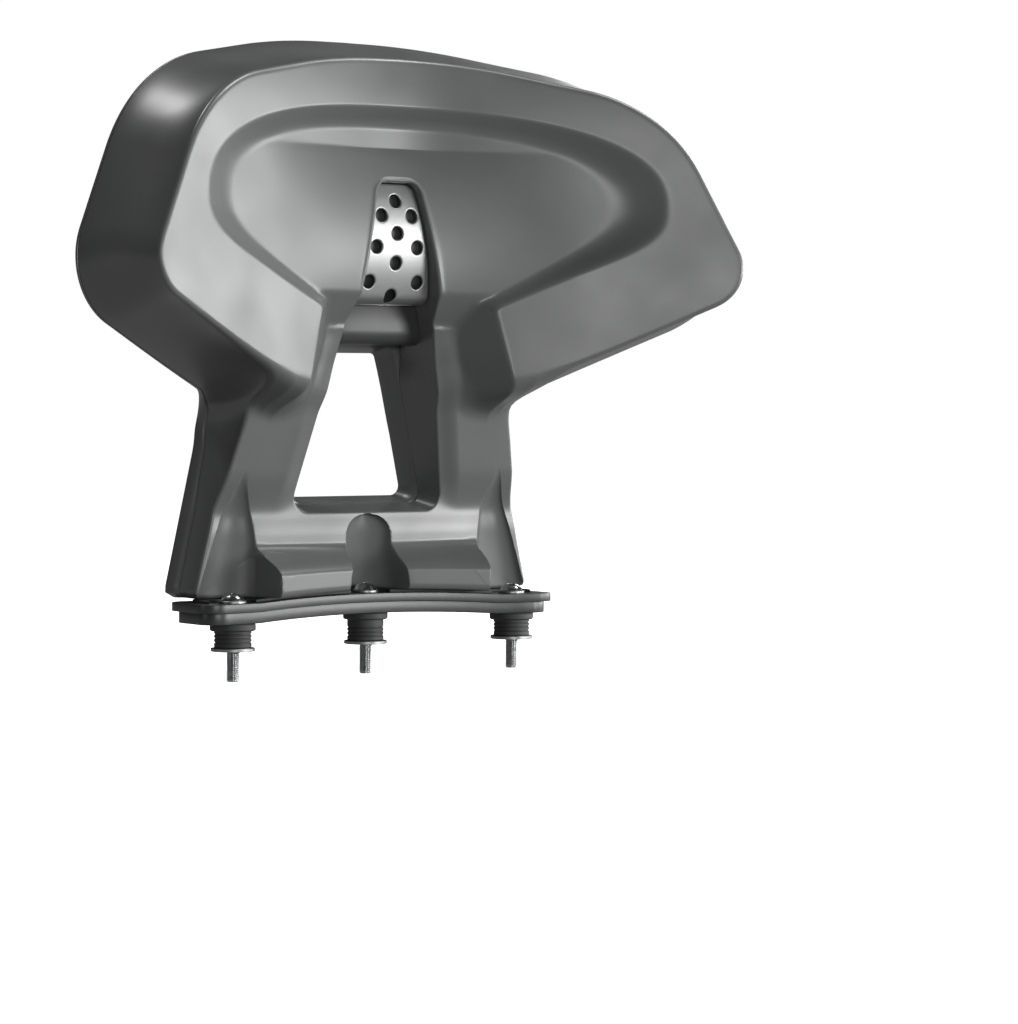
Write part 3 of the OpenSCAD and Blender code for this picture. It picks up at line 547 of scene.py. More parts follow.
def cover_mesh():
    return ring_mesh("rear_cover", [
        cover_edge_ring(0, SEAM_EDGE_R), cover_edge_ring(0.05, 0), cover_edge_ring(0.28, 0.1),
        cover_edge_ring(0.5, 0.5), cover_edge_ring(0.7, 1.2), cover_edge_ring(0.83, 2.2),
        cover_edge_ring(0.93, 3.2),
        *[cover_face_ring(t, 0) for t in np.linspace(0, 0.97, 40)],
        cover_wall_ring(1, 1.2), cover_wall_ring(0.95, 0.2), cover_wall_ring(0.5, 0),
        cover_wall_ring(0.05, 0), cover_wall_ring(0, SEAM_EDGE_R), cover_wall_ring(0, WALL),
        *[cover_face_ring(t, WALL) for t in (0.85, 0.6, 0.4, 0.2, 0.05)],
        cover_edge_ring(0, WALL),
    ])


# ------------------------------------------------------------------ insert plate
HOLES = [(0, 265), (-10.4, 256.4), (10.4, 256.4), (0, 245.9), (-14.1, 237.7), (14.1, 237.7),
         (0, 228.3), (-16.8, 217.2), (16.8, 217.2), (0, 209.1)]
INSERT_FOOT, INSERT_TOP = BAR_Z + BAR_H - 2, SLOT_Z - INSERT_GAP


def insert_y(z):
    curl = np.where(z < 209, 6 * ((209 - z) / 5) ** 2, 0)
    return -25 + (z - 245) ** 2 / 164 + curl


def insert_outline(inset):
    """Outline of the plate, across and up, pulled in by inset."""
    def x_at(z):
        return opening_x(z) - INSERT_GAP - inset
    top, foot = INSERT_TOP - inset, INSERT_FOOT + inset
    right = corner((0, top), (x_at(top), top), (x_at(foot), foot), 6 - inset, 14)
    lower = [(x_at(z), z) for z in np.linspace(right[-1][1], foot, 44)[1:]]
    upper = [(x, top) for x in np.linspace(0, right[0][0], 12)[:-1]]
    base = [(x, foot) for x in np.linspace(lower[-1][0], 0, 22)[1:]]
    half = np.array([*upper, *right, *lower, *base])
    return np.concatenate([half, half[-2:0:-1] * [-1, 1]])


def rounded_drop(d):
    """Fall of a surface at distance d from an edge rounded by the rim's radius."""
    e = np.clip(HOLE_RIM_R - d, 0, HOLE_RIM_R)
    return HOLE_RIM_R - np.sqrt(np.maximum(HOLE_RIM_R**2 - e * e, 0))


def insert_mesh():
    """Pressed and punched sheet: rounded punched rims, flat back."""
    points, drops = [], []
    loops = []
    radius = INSERT_HOLE / 2

    def add_loop(loop, d, keep):
        first = len(points)
        points.extend(map(tuple, loop))
        drops.extend([float(rounded_drop(np.array(d)))] * len(loop))
        if keep:
            loops.append(list(range(first, len(points))))

    for d in (0, 0.15, 0.4, HOLE_RIM_R, 1.4):
        add_loop(insert_outline(d), d, d == 0)
        for cx, cz in HOLES:
            a = np.arange(48) * math.tau / 48
            add_loop(np.stack([cx + (radius + d) * np.cos(a), cz + (radius + d) * np.sin(a)], -1), d, d == 0)
    for z in np.arange(INSERT_FOOT, INSERT_TOP, 1.6):
        for x in np.arange(-36, 36.1, 1.6):
            clear = min(math.hypot(x - cx, z - cz) for cx, cz in HOLES) - radius
            if clear > 2.2 and opening_x(z) - INSERT_GAP - abs(x) > 2.2 and slot_distance(x, z) < -2.8 \
                    and INSERT_FOOT + 2.2 < z:
                points.append((x, z))
                drops.append(0.0)
    edges = [(l[i], l[(i + 1) % len(l)]) for l in loops for i in range(len(l))]
    flat = [Vector(p) for p in points]
    out, _, faces, origin, _, _ = delaunay_2d_cdt(flat, edges, [], 0, 1e-5)
    drop = [drops[o[0]] if o else 0.0 for o in origin]
    where = {o[0]: i for i, o in enumerate(origin) if o}

    def solid(face):
        x = sum(out[i].x for i in face) / 3
        z = sum(out[i].y for i in face) / 3
        inner = all(math.hypot(x - cx, z - cz) > radius * 0.995 for cx, cz in HOLES)
        return inner and abs(x) < opening_x(z) - INSERT_GAP and slot_distance(x, z) < -INSERT_GAP + 0.02

    faces = [f for f in faces if solid(f)]
    n = len(out)
    xz = np.array([(p.x, p.y) for p in out])
    y = insert_y(xz[:, 1])
    front = np.stack([xz[:, 0], y + np.array(drop), xz[:, 1]], -1)
    back = np.stack([xz[:, 0], y + INSERT_T, xz[:, 1]], -1)
    skin = [tuple(f) for f in faces] + [tuple(n + i for i in f[::-1]) for f in faces]
    count = {}
    for f in faces:
        for i in range(3):
            e = (f[i], f[(i + 1) % 3])
            count[e] = count.get(e, 0) + 1
    for (i, j) in list(count):
        if (j, i) not in count:
            skin.append((j, i, n + i, n + j))
    mesh = mesh_from("insert_plate", np.concatenate([front, back]), skin, 50)
    return tidy(mesh)


def tidy(mesh, sharp=50):
    """Merges doubles, drops loose points and turns every face outwards."""
    bm = bmesh.new()
    bm.from_mesh(mesh)
    bmesh.ops.remove_doubles(bm, verts=bm.verts, dist=1e-7)
    loose = [v for v in bm.verts if not v.link_faces]
    bmesh.ops.delete(bm, geom=loose, context="VERTS")
    bmesh.ops.recalc_face_normals(bm, faces=bm.faces)
    bm.to_mesh(mesh)
    bm.free()
    mesh.shade_smooth()
    mesh.set_sharp_from_angle(angle=math.radians(sharp))
    return mesh


# ------------------------------------------------------------------ pieces from CAD nodes
def softened(node, width, segments=3, angle=32):
    """Copy of a CAD node with its hard edges rounded by width millimetres."""
    bm = bmesh.new()
    bm.from_mesh(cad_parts[node].data)
    bmesh.ops.remove_doubles(bm, verts=bm.verts, dist=2e-6)
    bmesh.ops.dissolve_limit(bm, angle_limit=math.radians(0.6), verts=bm.verts, edges=bm.edges)
    hard = [e for e in bm.edges if len(e.link_faces) == 2 and e.calc_face_angle(0) > math.radians(angle)]
    bmesh.ops.bevel(bm, geom=hard, offset=width * MM, segments=segments, profile=0.5,
                    affect="EDGES", clamp_overlap=True)
    bmesh.ops.triangulate(bm, faces=[f for f in bm.faces if len(f.verts) > 4])
    mesh = bpy.data.meshes.new(node)
    bm.to_mesh(mesh)
    bm.free()
    mesh.shade_smooth()
    mesh.set_sharp_from_angle(angle=math.radians(28))
    return mesh


# ------------------------------------------------------------------ materials
def linear(hex_colour):
    """Linear colour from an sRGB hex value."""
    out = []
    for i in (1, 3, 5):
        c = int(hex_colour[i:i + 2], 16) / 255
        out.append(c / 12.92 if c <= 0.04045 else ((c + 0.055) / 1.055) ** 2.4)
    return (*out, 1.0)


def add(tree, kind, inputs=None, **settings):
    """One node with its settings, its inputs given as values or as sockets to link."""
    node = tree.nodes.new(kind)
    for key, value in settings.items():
        setattr(node, key, value)
    for key, value in (inputs or {}).items():
        socket = node.inputs[key]
        if isinstance(value, bpy.types.NodeSocket):
            tree.links.new(value, socket)
        else:
            socket.default_value = value
    return node


def new_material(name):
    material = bpy.data.materials.new(name)
    material.use_nodes = True
    tree = material.node_tree
    tree.nodes.clear()
    where = add(tree, "ShaderNodeTexCoord").outputs["Object"]
    return material, tree, where


def finish_material(tree, **shader):
    surface = add(tree, "ShaderNodeBsdfPrincipled", shader)
    add(tree, "ShaderNodeOutputMaterial", {"Surface": surface.outputs["BSDF"]})


def per_mm(size):
    """Noise scale whose blobs are about size millimetres across."""
    return 1 / (size * MM)


def moulded_plastic(name, colour, roughness, grain, depth, sheen_patch=45.0):
    """Injection-moulded plastic: satin, with the tool's fine grain and soft drifts of
    gloss where the melt cooled against the tool."""
    material, tree, where = new_material(name)
    drift = add(tree, "ShaderNodeTexNoise", {"Vector": where, "Scale": per_mm(sheen_patch), "Detail": 2.0})
    fine = add(tree, "ShaderNodeTexNoise", {"Vector": where, "Scale": per_mm(grain), "Detail": 3.0,
                                            "Roughness": 0.6})
    r, g, b, _ = linear(colour)
    tone = add(tree, "ShaderNodeMix", {"Factor": drift.outputs["Fac"],
                                       "A": (r * 0.93, g * 0.93, b * 0.93, 1),
                                       "B": (r * 1.07, g * 1.07, b * 1.07, 1)}, data_type="RGBA")
    rough = add(tree, "ShaderNodeMapRange", {"Value": drift.outputs["Fac"], "From Min": 0.3, "From Max": 0.7,
                                             "To Min": roughness - 0.04, "To Max": roughness + 0.05})
    bump = add(tree, "ShaderNodeBump", {"Height": fine.outputs["Fac"], "Strength": 0.35,
                                        "Distance": depth * MM})
    finish_material(tree, **{"Base Color": tone.outputs["Result"], "Roughness": rough.outputs["Result"],
                             "Normal": bump.outputs["Normal"], "IOR": 1.5})
    return material


MOULDING = "#616362"
shell_plastic = moulded_plastic("moulded_polypropylene", MOULDING, 0.34, 1.1, 0.02)
carrier_plastic = moulded_plastic("moulded_nylon", "#3f4140", 0.42, 1.0, 0.02)


def blasted_aluminium():
    """Bead-blasted, anodised aluminium sheet: pale, with a fine even sparkle."""
    material, tree, where = new_material("blasted_anodised_aluminium")
    grit = add(tree, "ShaderNodeTexNoise", {"Vector": where, "Scale": per_mm(0.7), "Detail": 4.0,
                                            "Roughness": 0.7})
    r, g, b, _ = linear("#a3a5a4")
    tone = add(tree, "ShaderNodeMix", {"Factor": grit.outputs["Fac"],
                                       "A": (r * 0.8, g * 0.8, b * 0.8, 1),
                                       "B": (r * 1.12, g * 1.12, b * 1.12, 1)}, data_type="RGBA")
    rough = add(tree, "ShaderNodeMapRange", {"Value": grit.outputs["Fac"], "From Min": 0.3, "From Max": 0.7,
                                             "To Min": 0.34, "To Max": 0.5})
    bump = add(tree, "ShaderNodeBump", {"Height": grit.outputs["Fac"], "Strength": 0.5,
                                        "Distance": 0.05 * MM})
    finish_material(tree, **{"Base Color": tone.outputs["Result"], "Metallic": 0.75,
                             "Roughness": rough.outputs["Result"], "Normal": bump.outputs["Normal"]})
    return material


def powder_coat(name, colour, roughness):
    """Polyester powder coat on steel: a low orange-peel ripple under a satin skin."""
    material, tree, where = new_material(name)
    peel = add(tree, "ShaderNodeTexNoise", {"Vector": where, "Scale": per_mm(2.2), "Detail": 1.0})
    r, g, b, _ = linear(colour)
    tone = add(tree, "ShaderNodeMix", {"Factor": peel.outputs["Fac"],
                                       "A": (r * 0.9, g * 0.9, b * 0.9, 1),
                                       "B": (r * 1.08, g * 1.08, b * 1.08, 1)}, data_type="RGBA")
    bump = add(tree, "ShaderNodeBump", {"Height": peel.outputs["Fac"], "Strength": 0.4,
                                        "Distance": 0.06 * MM})
    finish_material(tree, **{"Base Color": tone.outputs["Result"], "Roughness": roughness,
                             "Normal": bump.outputs["Normal"], "IOR": 1.5})
    return material


def plated_steel(name, colour, roughness):
    """Zinc-plated steel: grey metal with faint cloudy passivation."""
    material, tree, where = new_material(name)
    cloud = add(tree, "ShaderNodeTexNoise", {"Vector": where, "Scale": per_mm(5), "Detail": 3.0})
    r, g, b, _ = linear(colour)
    tone = add(tree, "ShaderNodeMix", {"Factor": cloud.outputs["Fac"],
                                       "A": (r * 0.85, g * 0.85, b * 0.86, 1),
                                       "B": (r * 1.1, g * 1.1, b * 1.1, 1)}, data_type="RGBA")
    rough = add(tree, "ShaderNodeMapRange", {"Value": cloud.outputs["Fac"], "From Min": 0.3, "From Max": 0.7,
                                             "To Min": roughness - 0.05, "To Max": roughness + 0.08})
    finish_material(tree, **{"Base Color": tone.outputs["Result"], "Metallic": 1.0,
                             "Roughness": rough.outputs["Result"]})
    return material


def moulded_rubber():
    """Moulded natural rubber: near black, dull, with a dusty bloom."""
    material, tree, where = new_material("moulded_rubber")
    bloom = add(tree, "ShaderNodeTexNoise", {"Vector": where, "Scale": per_mm(6), "Detail": 4.0})
    tone = add(tree, "ShaderNodeMix", {"Factor": bloom.outputs["Fac"], "A": linear("#1b1c1c"),
                                       "B": linear("#333534")}, data_type="RGBA")
    bump = add(tree, "ShaderNodeBump", {"Height": bloom.outputs["Fac"], "Strength": 0.3,
                                        "Distance": 0.08 * MM})
    finish_material(tree, **{"Base Color": tone.outputs["Result"], "Roughness": 0.62,
                             "Normal": bump.outputs["Normal"], "IOR": 1.52})
    return material


aluminium = blasted_aluminium()
frame_coat = powder_coat("black_powder_coat", "#2c2e2f", 0.45)
plate_coat = powder_coat("grey_powder_coat", "#323434", 0.36)
zinc = plated_steel("zinc_plated_steel", "#8f9190", 0.4)
bolt_steel = plated_steel("polished_plated_steel", "#b4b6b6", 0.22)
black_steel = plated_steel("blackened_steel", "#5b5d5e", 0.24)
rubber = moulded_rubber()


# ------------------------------------------------------------------ pieces
def place(name, mesh, material, slot, *nodes):
    """A finished piece: its material, its body and the CAD nodes that it stands for."""
    mesh.materials.clear()
    mesh.materials.append(material)
    piece = link_piece(name, mesh)
    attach(piece, "root")
    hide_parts(*(nodes or [name]))
    return piece


def named(name):
    return name + "_form"


place(named("front_shell"), front_shell_mesh(), shell_plastic, "moulding", "front_shell")
place(named("insert_plate"), insert_mesh(), aluminium, "insert", "insert_plate")
for node, width, material, slot in (
    ("insert_carrier", 0.5, carrier_plastic, "carrier"),
    ("left_post", 1.0, frame_coat, "frame"),
    ("right_post", 1.0, frame_coat, "frame"),
    ("upper_crossbar", 1.0, frame_coat, "frame"),
    ("lower_crossbar", 1.0, frame_coat, "frame"),
    ("left_wing_arm", 0.6, frame_coat, "frame"),
    ("right_wing_arm", 0.6, frame_coat, "frame"),
    ("base_plate", 1.2, plate_coat, "plate"),
    ("lower_plate", 1.6, plate_coat, "plate"),
    ("foot_gasket", 0.4, rubber, "gasket"),
    ("cover_spacers", 0.3, rubber, "spacer"),
):
    place(named(node), softened(node, width), material, slot, node)


# ------------------------------------------------------------------ hardware on the bolts' axes
def turned(name, profile, segments=64, radius_at=None, sharp=30):
    """Solid of revolution about z; profile holds (radius, height) pairs from the bottom
    axis point to the top one. radius_at shapes a ring out of round."""
    angles = np.arange(segments) * math.tau / segments
    rows = []
    for r, z in profile:
        round_r = np.full(segments, float(r))
        if radius_at:
            round_r = radius_at(round_r, z, angles)
        rows.append(np.stack([round_r * np.cos(angles), round_r * np.sin(angles), np.full(segments, z)], -1))
    points = [(0, 0, profile[0][1]), *np.concatenate(rows).tolist(), (0, 0, profile[-1][1])]
    faces = []
    m = len(profile)
    for i in range(segments):
        j = (i + 1) % segments
        faces.append((0, 1 + j, 1 + i))
        faces.append((len(points) - 1, 1 + (m - 1) * segments + i, 1 + (m - 1) * segments + j))
        for k in range(m - 1):
            a, b = 1 + k * segments, 1 + (k + 1) * segments
            faces.append((a + i, a + j, b + j, b + i))
    return mesh_from(name, points, faces, sharp)


def tube(name, outer, inner, sharp=30):
    """Ring about z from its outer profile (bottom to top) and its bore's radius."""
    angles = np.arange(64) * math.tau / 64
    low, high = outer[0][1], outer[-1][1]
    loop = [(inner + 0.3, low), *outer, (inner + 0.3, high), (inner, high - 0.3), (inner, low + 0.3)]
    rows = [np.stack([r * np.cos(angles), r * np.sin(angles), np.full(64, z)], -1) for r, z in loop]
    return ring_mesh(name, [row[::-1] for row in rows], sharp)


SOCKET_AF, HEAD_R, HEAD_H = 5.0, 7.0, 4.6


def button_bolt(lift):
    """Button-head screw with a hexagon socket, plain shank and rolled thread. The seat of
    its head is at height 0; lift is the plate's rise under it."""
    seat = PLATE_TOP + WASHER_T + lift
    dome = [(HEAD_R - 0.25, 0.0), (HEAD_R, 0.3)]
    for a in np.radians(np.linspace(18, 66, 12)):
        dome.append((HEAD_R * math.cos(a) / math.cos(math.radians(18)),
                     0.3 + (HEAD_H - 0.3) * (math.sin(a) - math.sin(math.radians(18))) / (1 - math.sin(math.radians(18)))))
    top = dome[-1][1]
    socket = [(SOCKET_AF / 2 + 0.15, top + 0.1), (SOCKET_AF / 2, top - 0.2), (SOCKET_AF / 2, 2.0), (0.4, 1.6)]
    tip = -(seat + BOLT_REACH)
    thread = [(BOLT_D / 2 - max(0.0, 0.9 - (z - tip)) * 0.9, float(z))
              for z in np.arange(tip, -seat - 0.5, PITCH / 8)]
    shank = [(BOLT_D / 2 - 0.25, -seat), (BOLT_D / 2 - 0.25, 0.0)]

    def section(r, z, angles):
        if z > 1.9 and r[0] < SOCKET_AF / 2 + 0.1:
            return r / np.cos((angles + math.pi / 6) % (math.pi / 3) - math.pi / 6)
        if z < -seat:
            return thread_cut(r, z - tip, -seat - z, angles, PITCH)
        return r
    return turned("mounting_bolt", [*thread, *shank, *dome, *socket], 72, section)


PITCH = 1.25


def thread_cut(r, from_tip, from_shank, angles, pitch):
    """Radius with a rolled metric thread's groove, running out at both ends."""
    phase = (from_tip / pitch - angles / math.tau) % 1.0
    groove = np.clip(2.6 * np.abs(phase - 0.5) - 0.15, 0, 1)
    return r - 0.6 * pitch * groove * min(1.0, from_tip / 1.2 + 0.2, max(from_shank, 0) / 1.2 + 0.05)


SCREW_D, PAN_R, PAN_H, SCREW_PITCH = 4.0, 4.0, 2.6, 1.4


def pan_screw(length):
    """Pan-head thread-forming screw, its head's seat at height 0, with a cross recess."""
    thread = [(max(0.7, SCREW_D / 2 - max(0.0, 1.6 - (z + length)) * 0.8), float(z))
              for z in np.arange(-length, -1.2, SCREW_PITCH / 8)]
    head = [(SCREW_D / 2 - 0.2, -0.6), (SCREW_D / 2 - 0.2, 0.0), (PAN_R - 0.2, 0.0), (PAN_R, 0.25)]
    head += [(PAN_R - 1 + math.cos(a), PAN_H - 1 + math.sin(a)) for a in np.radians(np.linspace(0, 80, 8))]
    head.append((2.2, PAN_H))
    recess = [(2.0, PAN_H - 0.05), (1.6, PAN_H - 0.8), (0.9, PAN_H - 1.5)]

    def section(r, z, angles):
        if z < -1.2:
            return thread_cut(r, z + length, -1.2 - z, angles, SCREW_PITCH)
        if z > 0.5 and r[0] < 2.1:
            off_arm = np.abs((angles + math.pi / 4) % (math.pi / 2) - math.pi / 4)
            return np.maximum(0.3 * r, np.minimum(r, 0.42 / np.maximum(np.sin(off_arm), 0.05)))
        return r
    return turned("pan_screw", [*thread, *head, *recess], 48, section)


BUSH_R, BUSH_FLANGE_R, SLEEVE_R, BUSH_WASHER_T = 11.0, 13.5, 6.0, 2.0
BUSH_H = 14.0


def bush_height(x):
    return BUSH_H + float(rise(abs(x) + BUSH_FLANGE_R))


def bush(height):
    """Rubber bush with a flange under the plate and moulded grooves round its body."""
    body = [(BUSH_R - 0.6, 0.0), (BUSH_R, 0.6)]
    for z in (2.6, 5.0, 7.4):
        body += [(BUSH_R, z), (BUSH_R - 0.5, z + 0.35), (BUSH_R - 0.5, z + 0.85), (BUSH_R, z + 1.2)]
    flange = height - 4
    body += [(BUSH_R, flange - 0.3), (BUSH_R + 0.4, flange), (BUSH_FLANGE_R - 0.7, flange),
             (BUSH_FLANGE_R, flange + 0.7), (BUSH_FLANGE_R, height - 0.5), (BUSH_FLANGE_R - 0.5, height)]
    return tube("bush", body, SLEEVE_R)


def plain_tube(name, radius, height, bore, edge):
    return tube(name, [(radius - edge, 0), (radius, edge), (radius, height - edge), (radius - edge, height)], bore)


def repeated(name, templates, material, slot, node):
    """One body made by Geometry Nodes: each template mesh is set on its own points, turned
    as they say, and the whole is realised as one plain mesh. templates holds pairs of a
    mesh and its places; a place is (x, y, z), or that with the Euler angles to turn by."""
    tree = bpy.data.node_groups.new(name + "_on_the_bolts", "GeometryNodeTree")
    tree.interface.new_socket("Geometry", in_out="INPUT", socket_type="NodeSocketGeometry")
    tree.interface.new_socket("Geometry", in_out="OUTPUT", socket_type="NodeSocketGeometry")
    surface = tree.interface.new_socket("Surface", in_out="INPUT", socket_type="NodeSocketMaterial")
    group_in, join = add(tree, "NodeGroupInput"), add(tree, "GeometryNodeJoinGeometry")
    turn = add(tree, "GeometryNodeInputNamedAttribute", {"Name": "turn"}, data_type="FLOAT_VECTOR")
    sockets, helpers = [], []
    for i, (mesh, _) in enumerate(templates):
        form = tree.interface.new_socket(f"Form {i}", in_out="INPUT", socket_type="NodeSocketObject")
        sockets.append(form.identifier)
        chosen = add(tree, "FunctionNodeCompare", data_type="INT", operation="EQUAL")
        chosen.inputs[3].default_value = i
        kind = add(tree, "GeometryNodeInputNamedAttribute", {"Name": "form"}, data_type="INT")
        tree.links.new(kind.outputs["Attribute"], chosen.inputs[2])
        shape = add(tree, "GeometryNodeObjectInfo", {"Object": group_in.outputs[f"Form {i}"]})
        copies = add(tree, "GeometryNodeInstanceOnPoints", {
            "Points": group_in.outputs["Geometry"], "Selection": chosen.outputs["Result"],
            "Instance": shape.outputs["Geometry"], "Rotation": turn.outputs["Attribute"]})
        tree.links.new(copies.outputs["Instances"], join.inputs["Geometry"])
    plain = add(tree, "GeometryNodeRealizeInstances", {"Geometry": join.outputs["Geometry"]})
    dressed = add(tree, "GeometryNodeSetMaterial", {"Geometry": plain.outputs["Geometry"],
                                                    "Material": group_in.outputs["Surface"]})
    add(tree, "NodeGroupOutput", {"Geometry": dressed.outputs["Geometry"]})

    places = [(i, place_at) for i, (_, spots) in enumerate(templates) for place_at in spots]
    carrier = bpy.data.meshes.new(name + "_places")
    carrier.from_pydata([(np.array(spot[:3]) * MM).tolist() for _, spot in places], [], [])
    turns = carrier.attributes.new("turn", "FLOAT_VECTOR", "POINT")
    turns.data.foreach_set("vector", [a for _, spot in places for a in (spot[3] if len(spot) > 3 else (0, 0, 0))])
    which = carrier.attributes.new("form", "INT", "POINT")
    which.data.foreach_set("value", [i for i, _ in places])
    holder = link_piece(name + "_places", carrier)
    modifier = holder.modifiers.new("repeat", "NODES")
    modifier.node_group = tree
    for (mesh, _), identifier in zip(templates, sockets):
        helper = link_piece(mesh.name + "_form", mesh)
        helpers.append(helper)
        modifier[identifier] = helper
    modifier[surface.identifier] = material
    graph = bpy.context.evaluated_depsgraph_get()
    mesh = bpy.data.meshes.new_from_object(holder.evaluated_get(graph), depsgraph=graph)
    holder.modifiers.clear()
    for helper in (holder, *helpers):
        bpy.data.objects.remove(helper, do_unlink=True)
    mesh.name = name
    return place(named(name), mesh, material, slot, node)


BOLTS = [(-BOLT_SPAN / 2, 0.0), (0.0, BOLT_MID_Y), (BOLT_SPAN / 2, 0.0)]


def on_bolts(z, lifted=True):
    return [(x, y, z + (float(rise(x)) if lifted else 0.0)) for x, y in BOLTS]


MIDDLE, OUTER = on_bolts(0)[1:2], on_bolts(0)[::2]


def raised(spots, z):
    return [(x, y, h + z) for x, y, h in spots]


repeated("mounting_bolts", [(button_bolt(0.0), raised(OUTER, PLATE_TOP + WASHER_T)),
                            (button_bolt(PLATE_RISE), raised(MIDDLE, PLATE_TOP + WASHER_T))],
         bolt_steel, "bolt", "mounting_bolts")
repeated("bolt_washers", [(plain_tube("washer", BOLT_D, WASHER_T, BOLT_D / 2 + 0.2, 0.3), on_bolts(PLATE_TOP))],
         zinc, "zinc", "bolt_washers")
seats = on_bolts(BUSH_WASHER_T, False)
repeated("mounting_bushes", [(bush(bush_height(x)), [(x, y, z)]) for x, y, z in seats], rubber, "bush",
         "mounting_bushes")
repeated("bush_sleeves", [(plain_tube("sleeve", SLEEVE_R, bush_height(x), BOLT_D / 2 + 0.2, 0.3), [(x, y, z)])
                          for x, y, z in seats], zinc, "zinc", "bush_sleeves")
repeated("bush_washers", [(plain_tube("bush_washer", BUSH_R + 2, BUSH_WASHER_T, BOLT_D / 2 + 0.2, 0.3),
                           on_bolts(0, False))], zinc, "zinc", "bush_washers")

# screws of the mouldings, driven from behind: their heads face +Y
FROM_BEHIND = -math.pi / 2
POST_Y, POST_DEPTH, HEAD_SINK = 14.0, 11.0, 1.8
SHELL_SCREW_Z, COVER_SCREW_Z = (140.0, 266.0), (118.0, 292.0)
SCREW_IN, CARRIER_T, CARRIER_SCREW_IN = 12.0, 3.0, 10.0
repeated("shell_screws", [(pan_screw(POST_DEPTH + SCREW_IN),
                           [(side * POST_X, POST_Y + POST_DEPTH, z, (FROM_BEHIND, 0, 0))
                            for side in (-1, 1) for z in SHELL_SCREW_Z])], zinc, "zinc", "shell_screws")
repeated("carrier_screws", [(pan_screw(CARRIER_T + CARRIER_SCREW_IN),
                             [(side * (float(opening_x(z)) + WALL + 4), FLANGE_Y + CARRIER_T, z, (FROM_BEHIND, 0, 0))
                              for side in (-1, 1) for z in (BAR_Z + BAR_H + 8, SLOT_Z - 14)])],
         zinc, "zinc", "carrier_screws")
ARM_FROM, ARM_TO = np.array([POST_X + 8, 20.0]), np.array([168.0, -27.0])
ARM_SCREW_AT, ARM_Z, ARM_T = 78.0, 238.0, 4.0
arm_dir = (ARM_TO - ARM_FROM) / np.linalg.norm(ARM_TO - ARM_FROM)
arm_angle = math.atan2(arm_dir[1], arm_dir[0])
arm_screw = ARM_FROM + ARM_SCREW_AT * arm_dir
arm_seat = (float(cover_y(arm_screw[0] + 4, ARM_Z)) - HEAD_SINK - arm_screw[1]) * math.cos(arm_angle)


def in_arm(side):
    """Head seat of the cover's screw in one wing arm, square to the arm."""
    turn = side * arm_angle
    return (side * arm_screw[0] - math.sin(turn) * arm_seat, arm_screw[1] + math.cos(turn) * arm_seat, ARM_Z,
            (FROM_BEHIND, 0, turn))


def in_post(side, z):
    return (side * POST_X, float(cover_y(POST_X, z)) - HEAD_SINK, z, (FROM_BEHIND, 0, 0))


def reach(z):
    return float(cover_y(POST_X, z)) - HEAD_SINK - POST_Y - POST_DEPTH + 5


def sunk_seats(mesh, seats, radius, depth=8.0):
    """The mesh with a round seat sunk into it at each place, open to the back."""
    cutter = bmesh.new()
    for x, y, z, angles in seats:
        axis = Euler(angles).to_matrix().to_4x4()
        at = Matrix.Translation(Vector((x, y, z)) * MM) @ axis @ Matrix.Translation((0, 0, depth / 2 * MM))
        bmesh.ops.create_cone(cutter, cap_ends=True, segments=48, radius1=radius * MM, radius2=(radius + 0.3) * MM,
                              depth=depth * MM, matrix=at)
    tool_mesh = bpy.data.meshes.new("seat_cutter")
    cutter.to_mesh(tool_mesh)
    cutter.free()
    tool, body = link_piece("seat_cutter", tool_mesh), link_piece("seat_body", mesh)
    cut = body.modifiers.new("seats", "BOOLEAN")
    cut.operation, cut.solver, cut.object = "DIFFERENCE", "EXACT", tool
    graph = bpy.context.evaluated_depsgraph_get()
    out = bpy.data.meshes.new_from_object(body.evaluated_get(graph), depsgraph=graph)
    body.modifiers.clear()
    for helper in (tool, body):
        bpy.data.objects.remove(helper, do_unlink=True)
    out.shade_smooth()
    out.set_sharp_from_angle(angle=math.radians(38))
    return out


cover_seats = [*[in_post(side, z) for z in COVER_SCREW_Z for side in (-1, 1)], in_arm(-1), in_arm(1)]
place(named("rear_cover"), sunk_seats(cover_mesh(), cover_seats, PAN_R + 0.5), shell_plastic, "moulding",
      "rear_cover")
repeated("cover_screws", [
    *[(pan_screw(reach(z)), [in_post(-1, z), in_post(1, z)]) for z in COVER_SCREW_Z],
    (pan_screw(arm_seat - ARM_T / 2 + 5), [in_arm(-1), in_arm(1)])], black_steel, "blackened", "cover_screws")


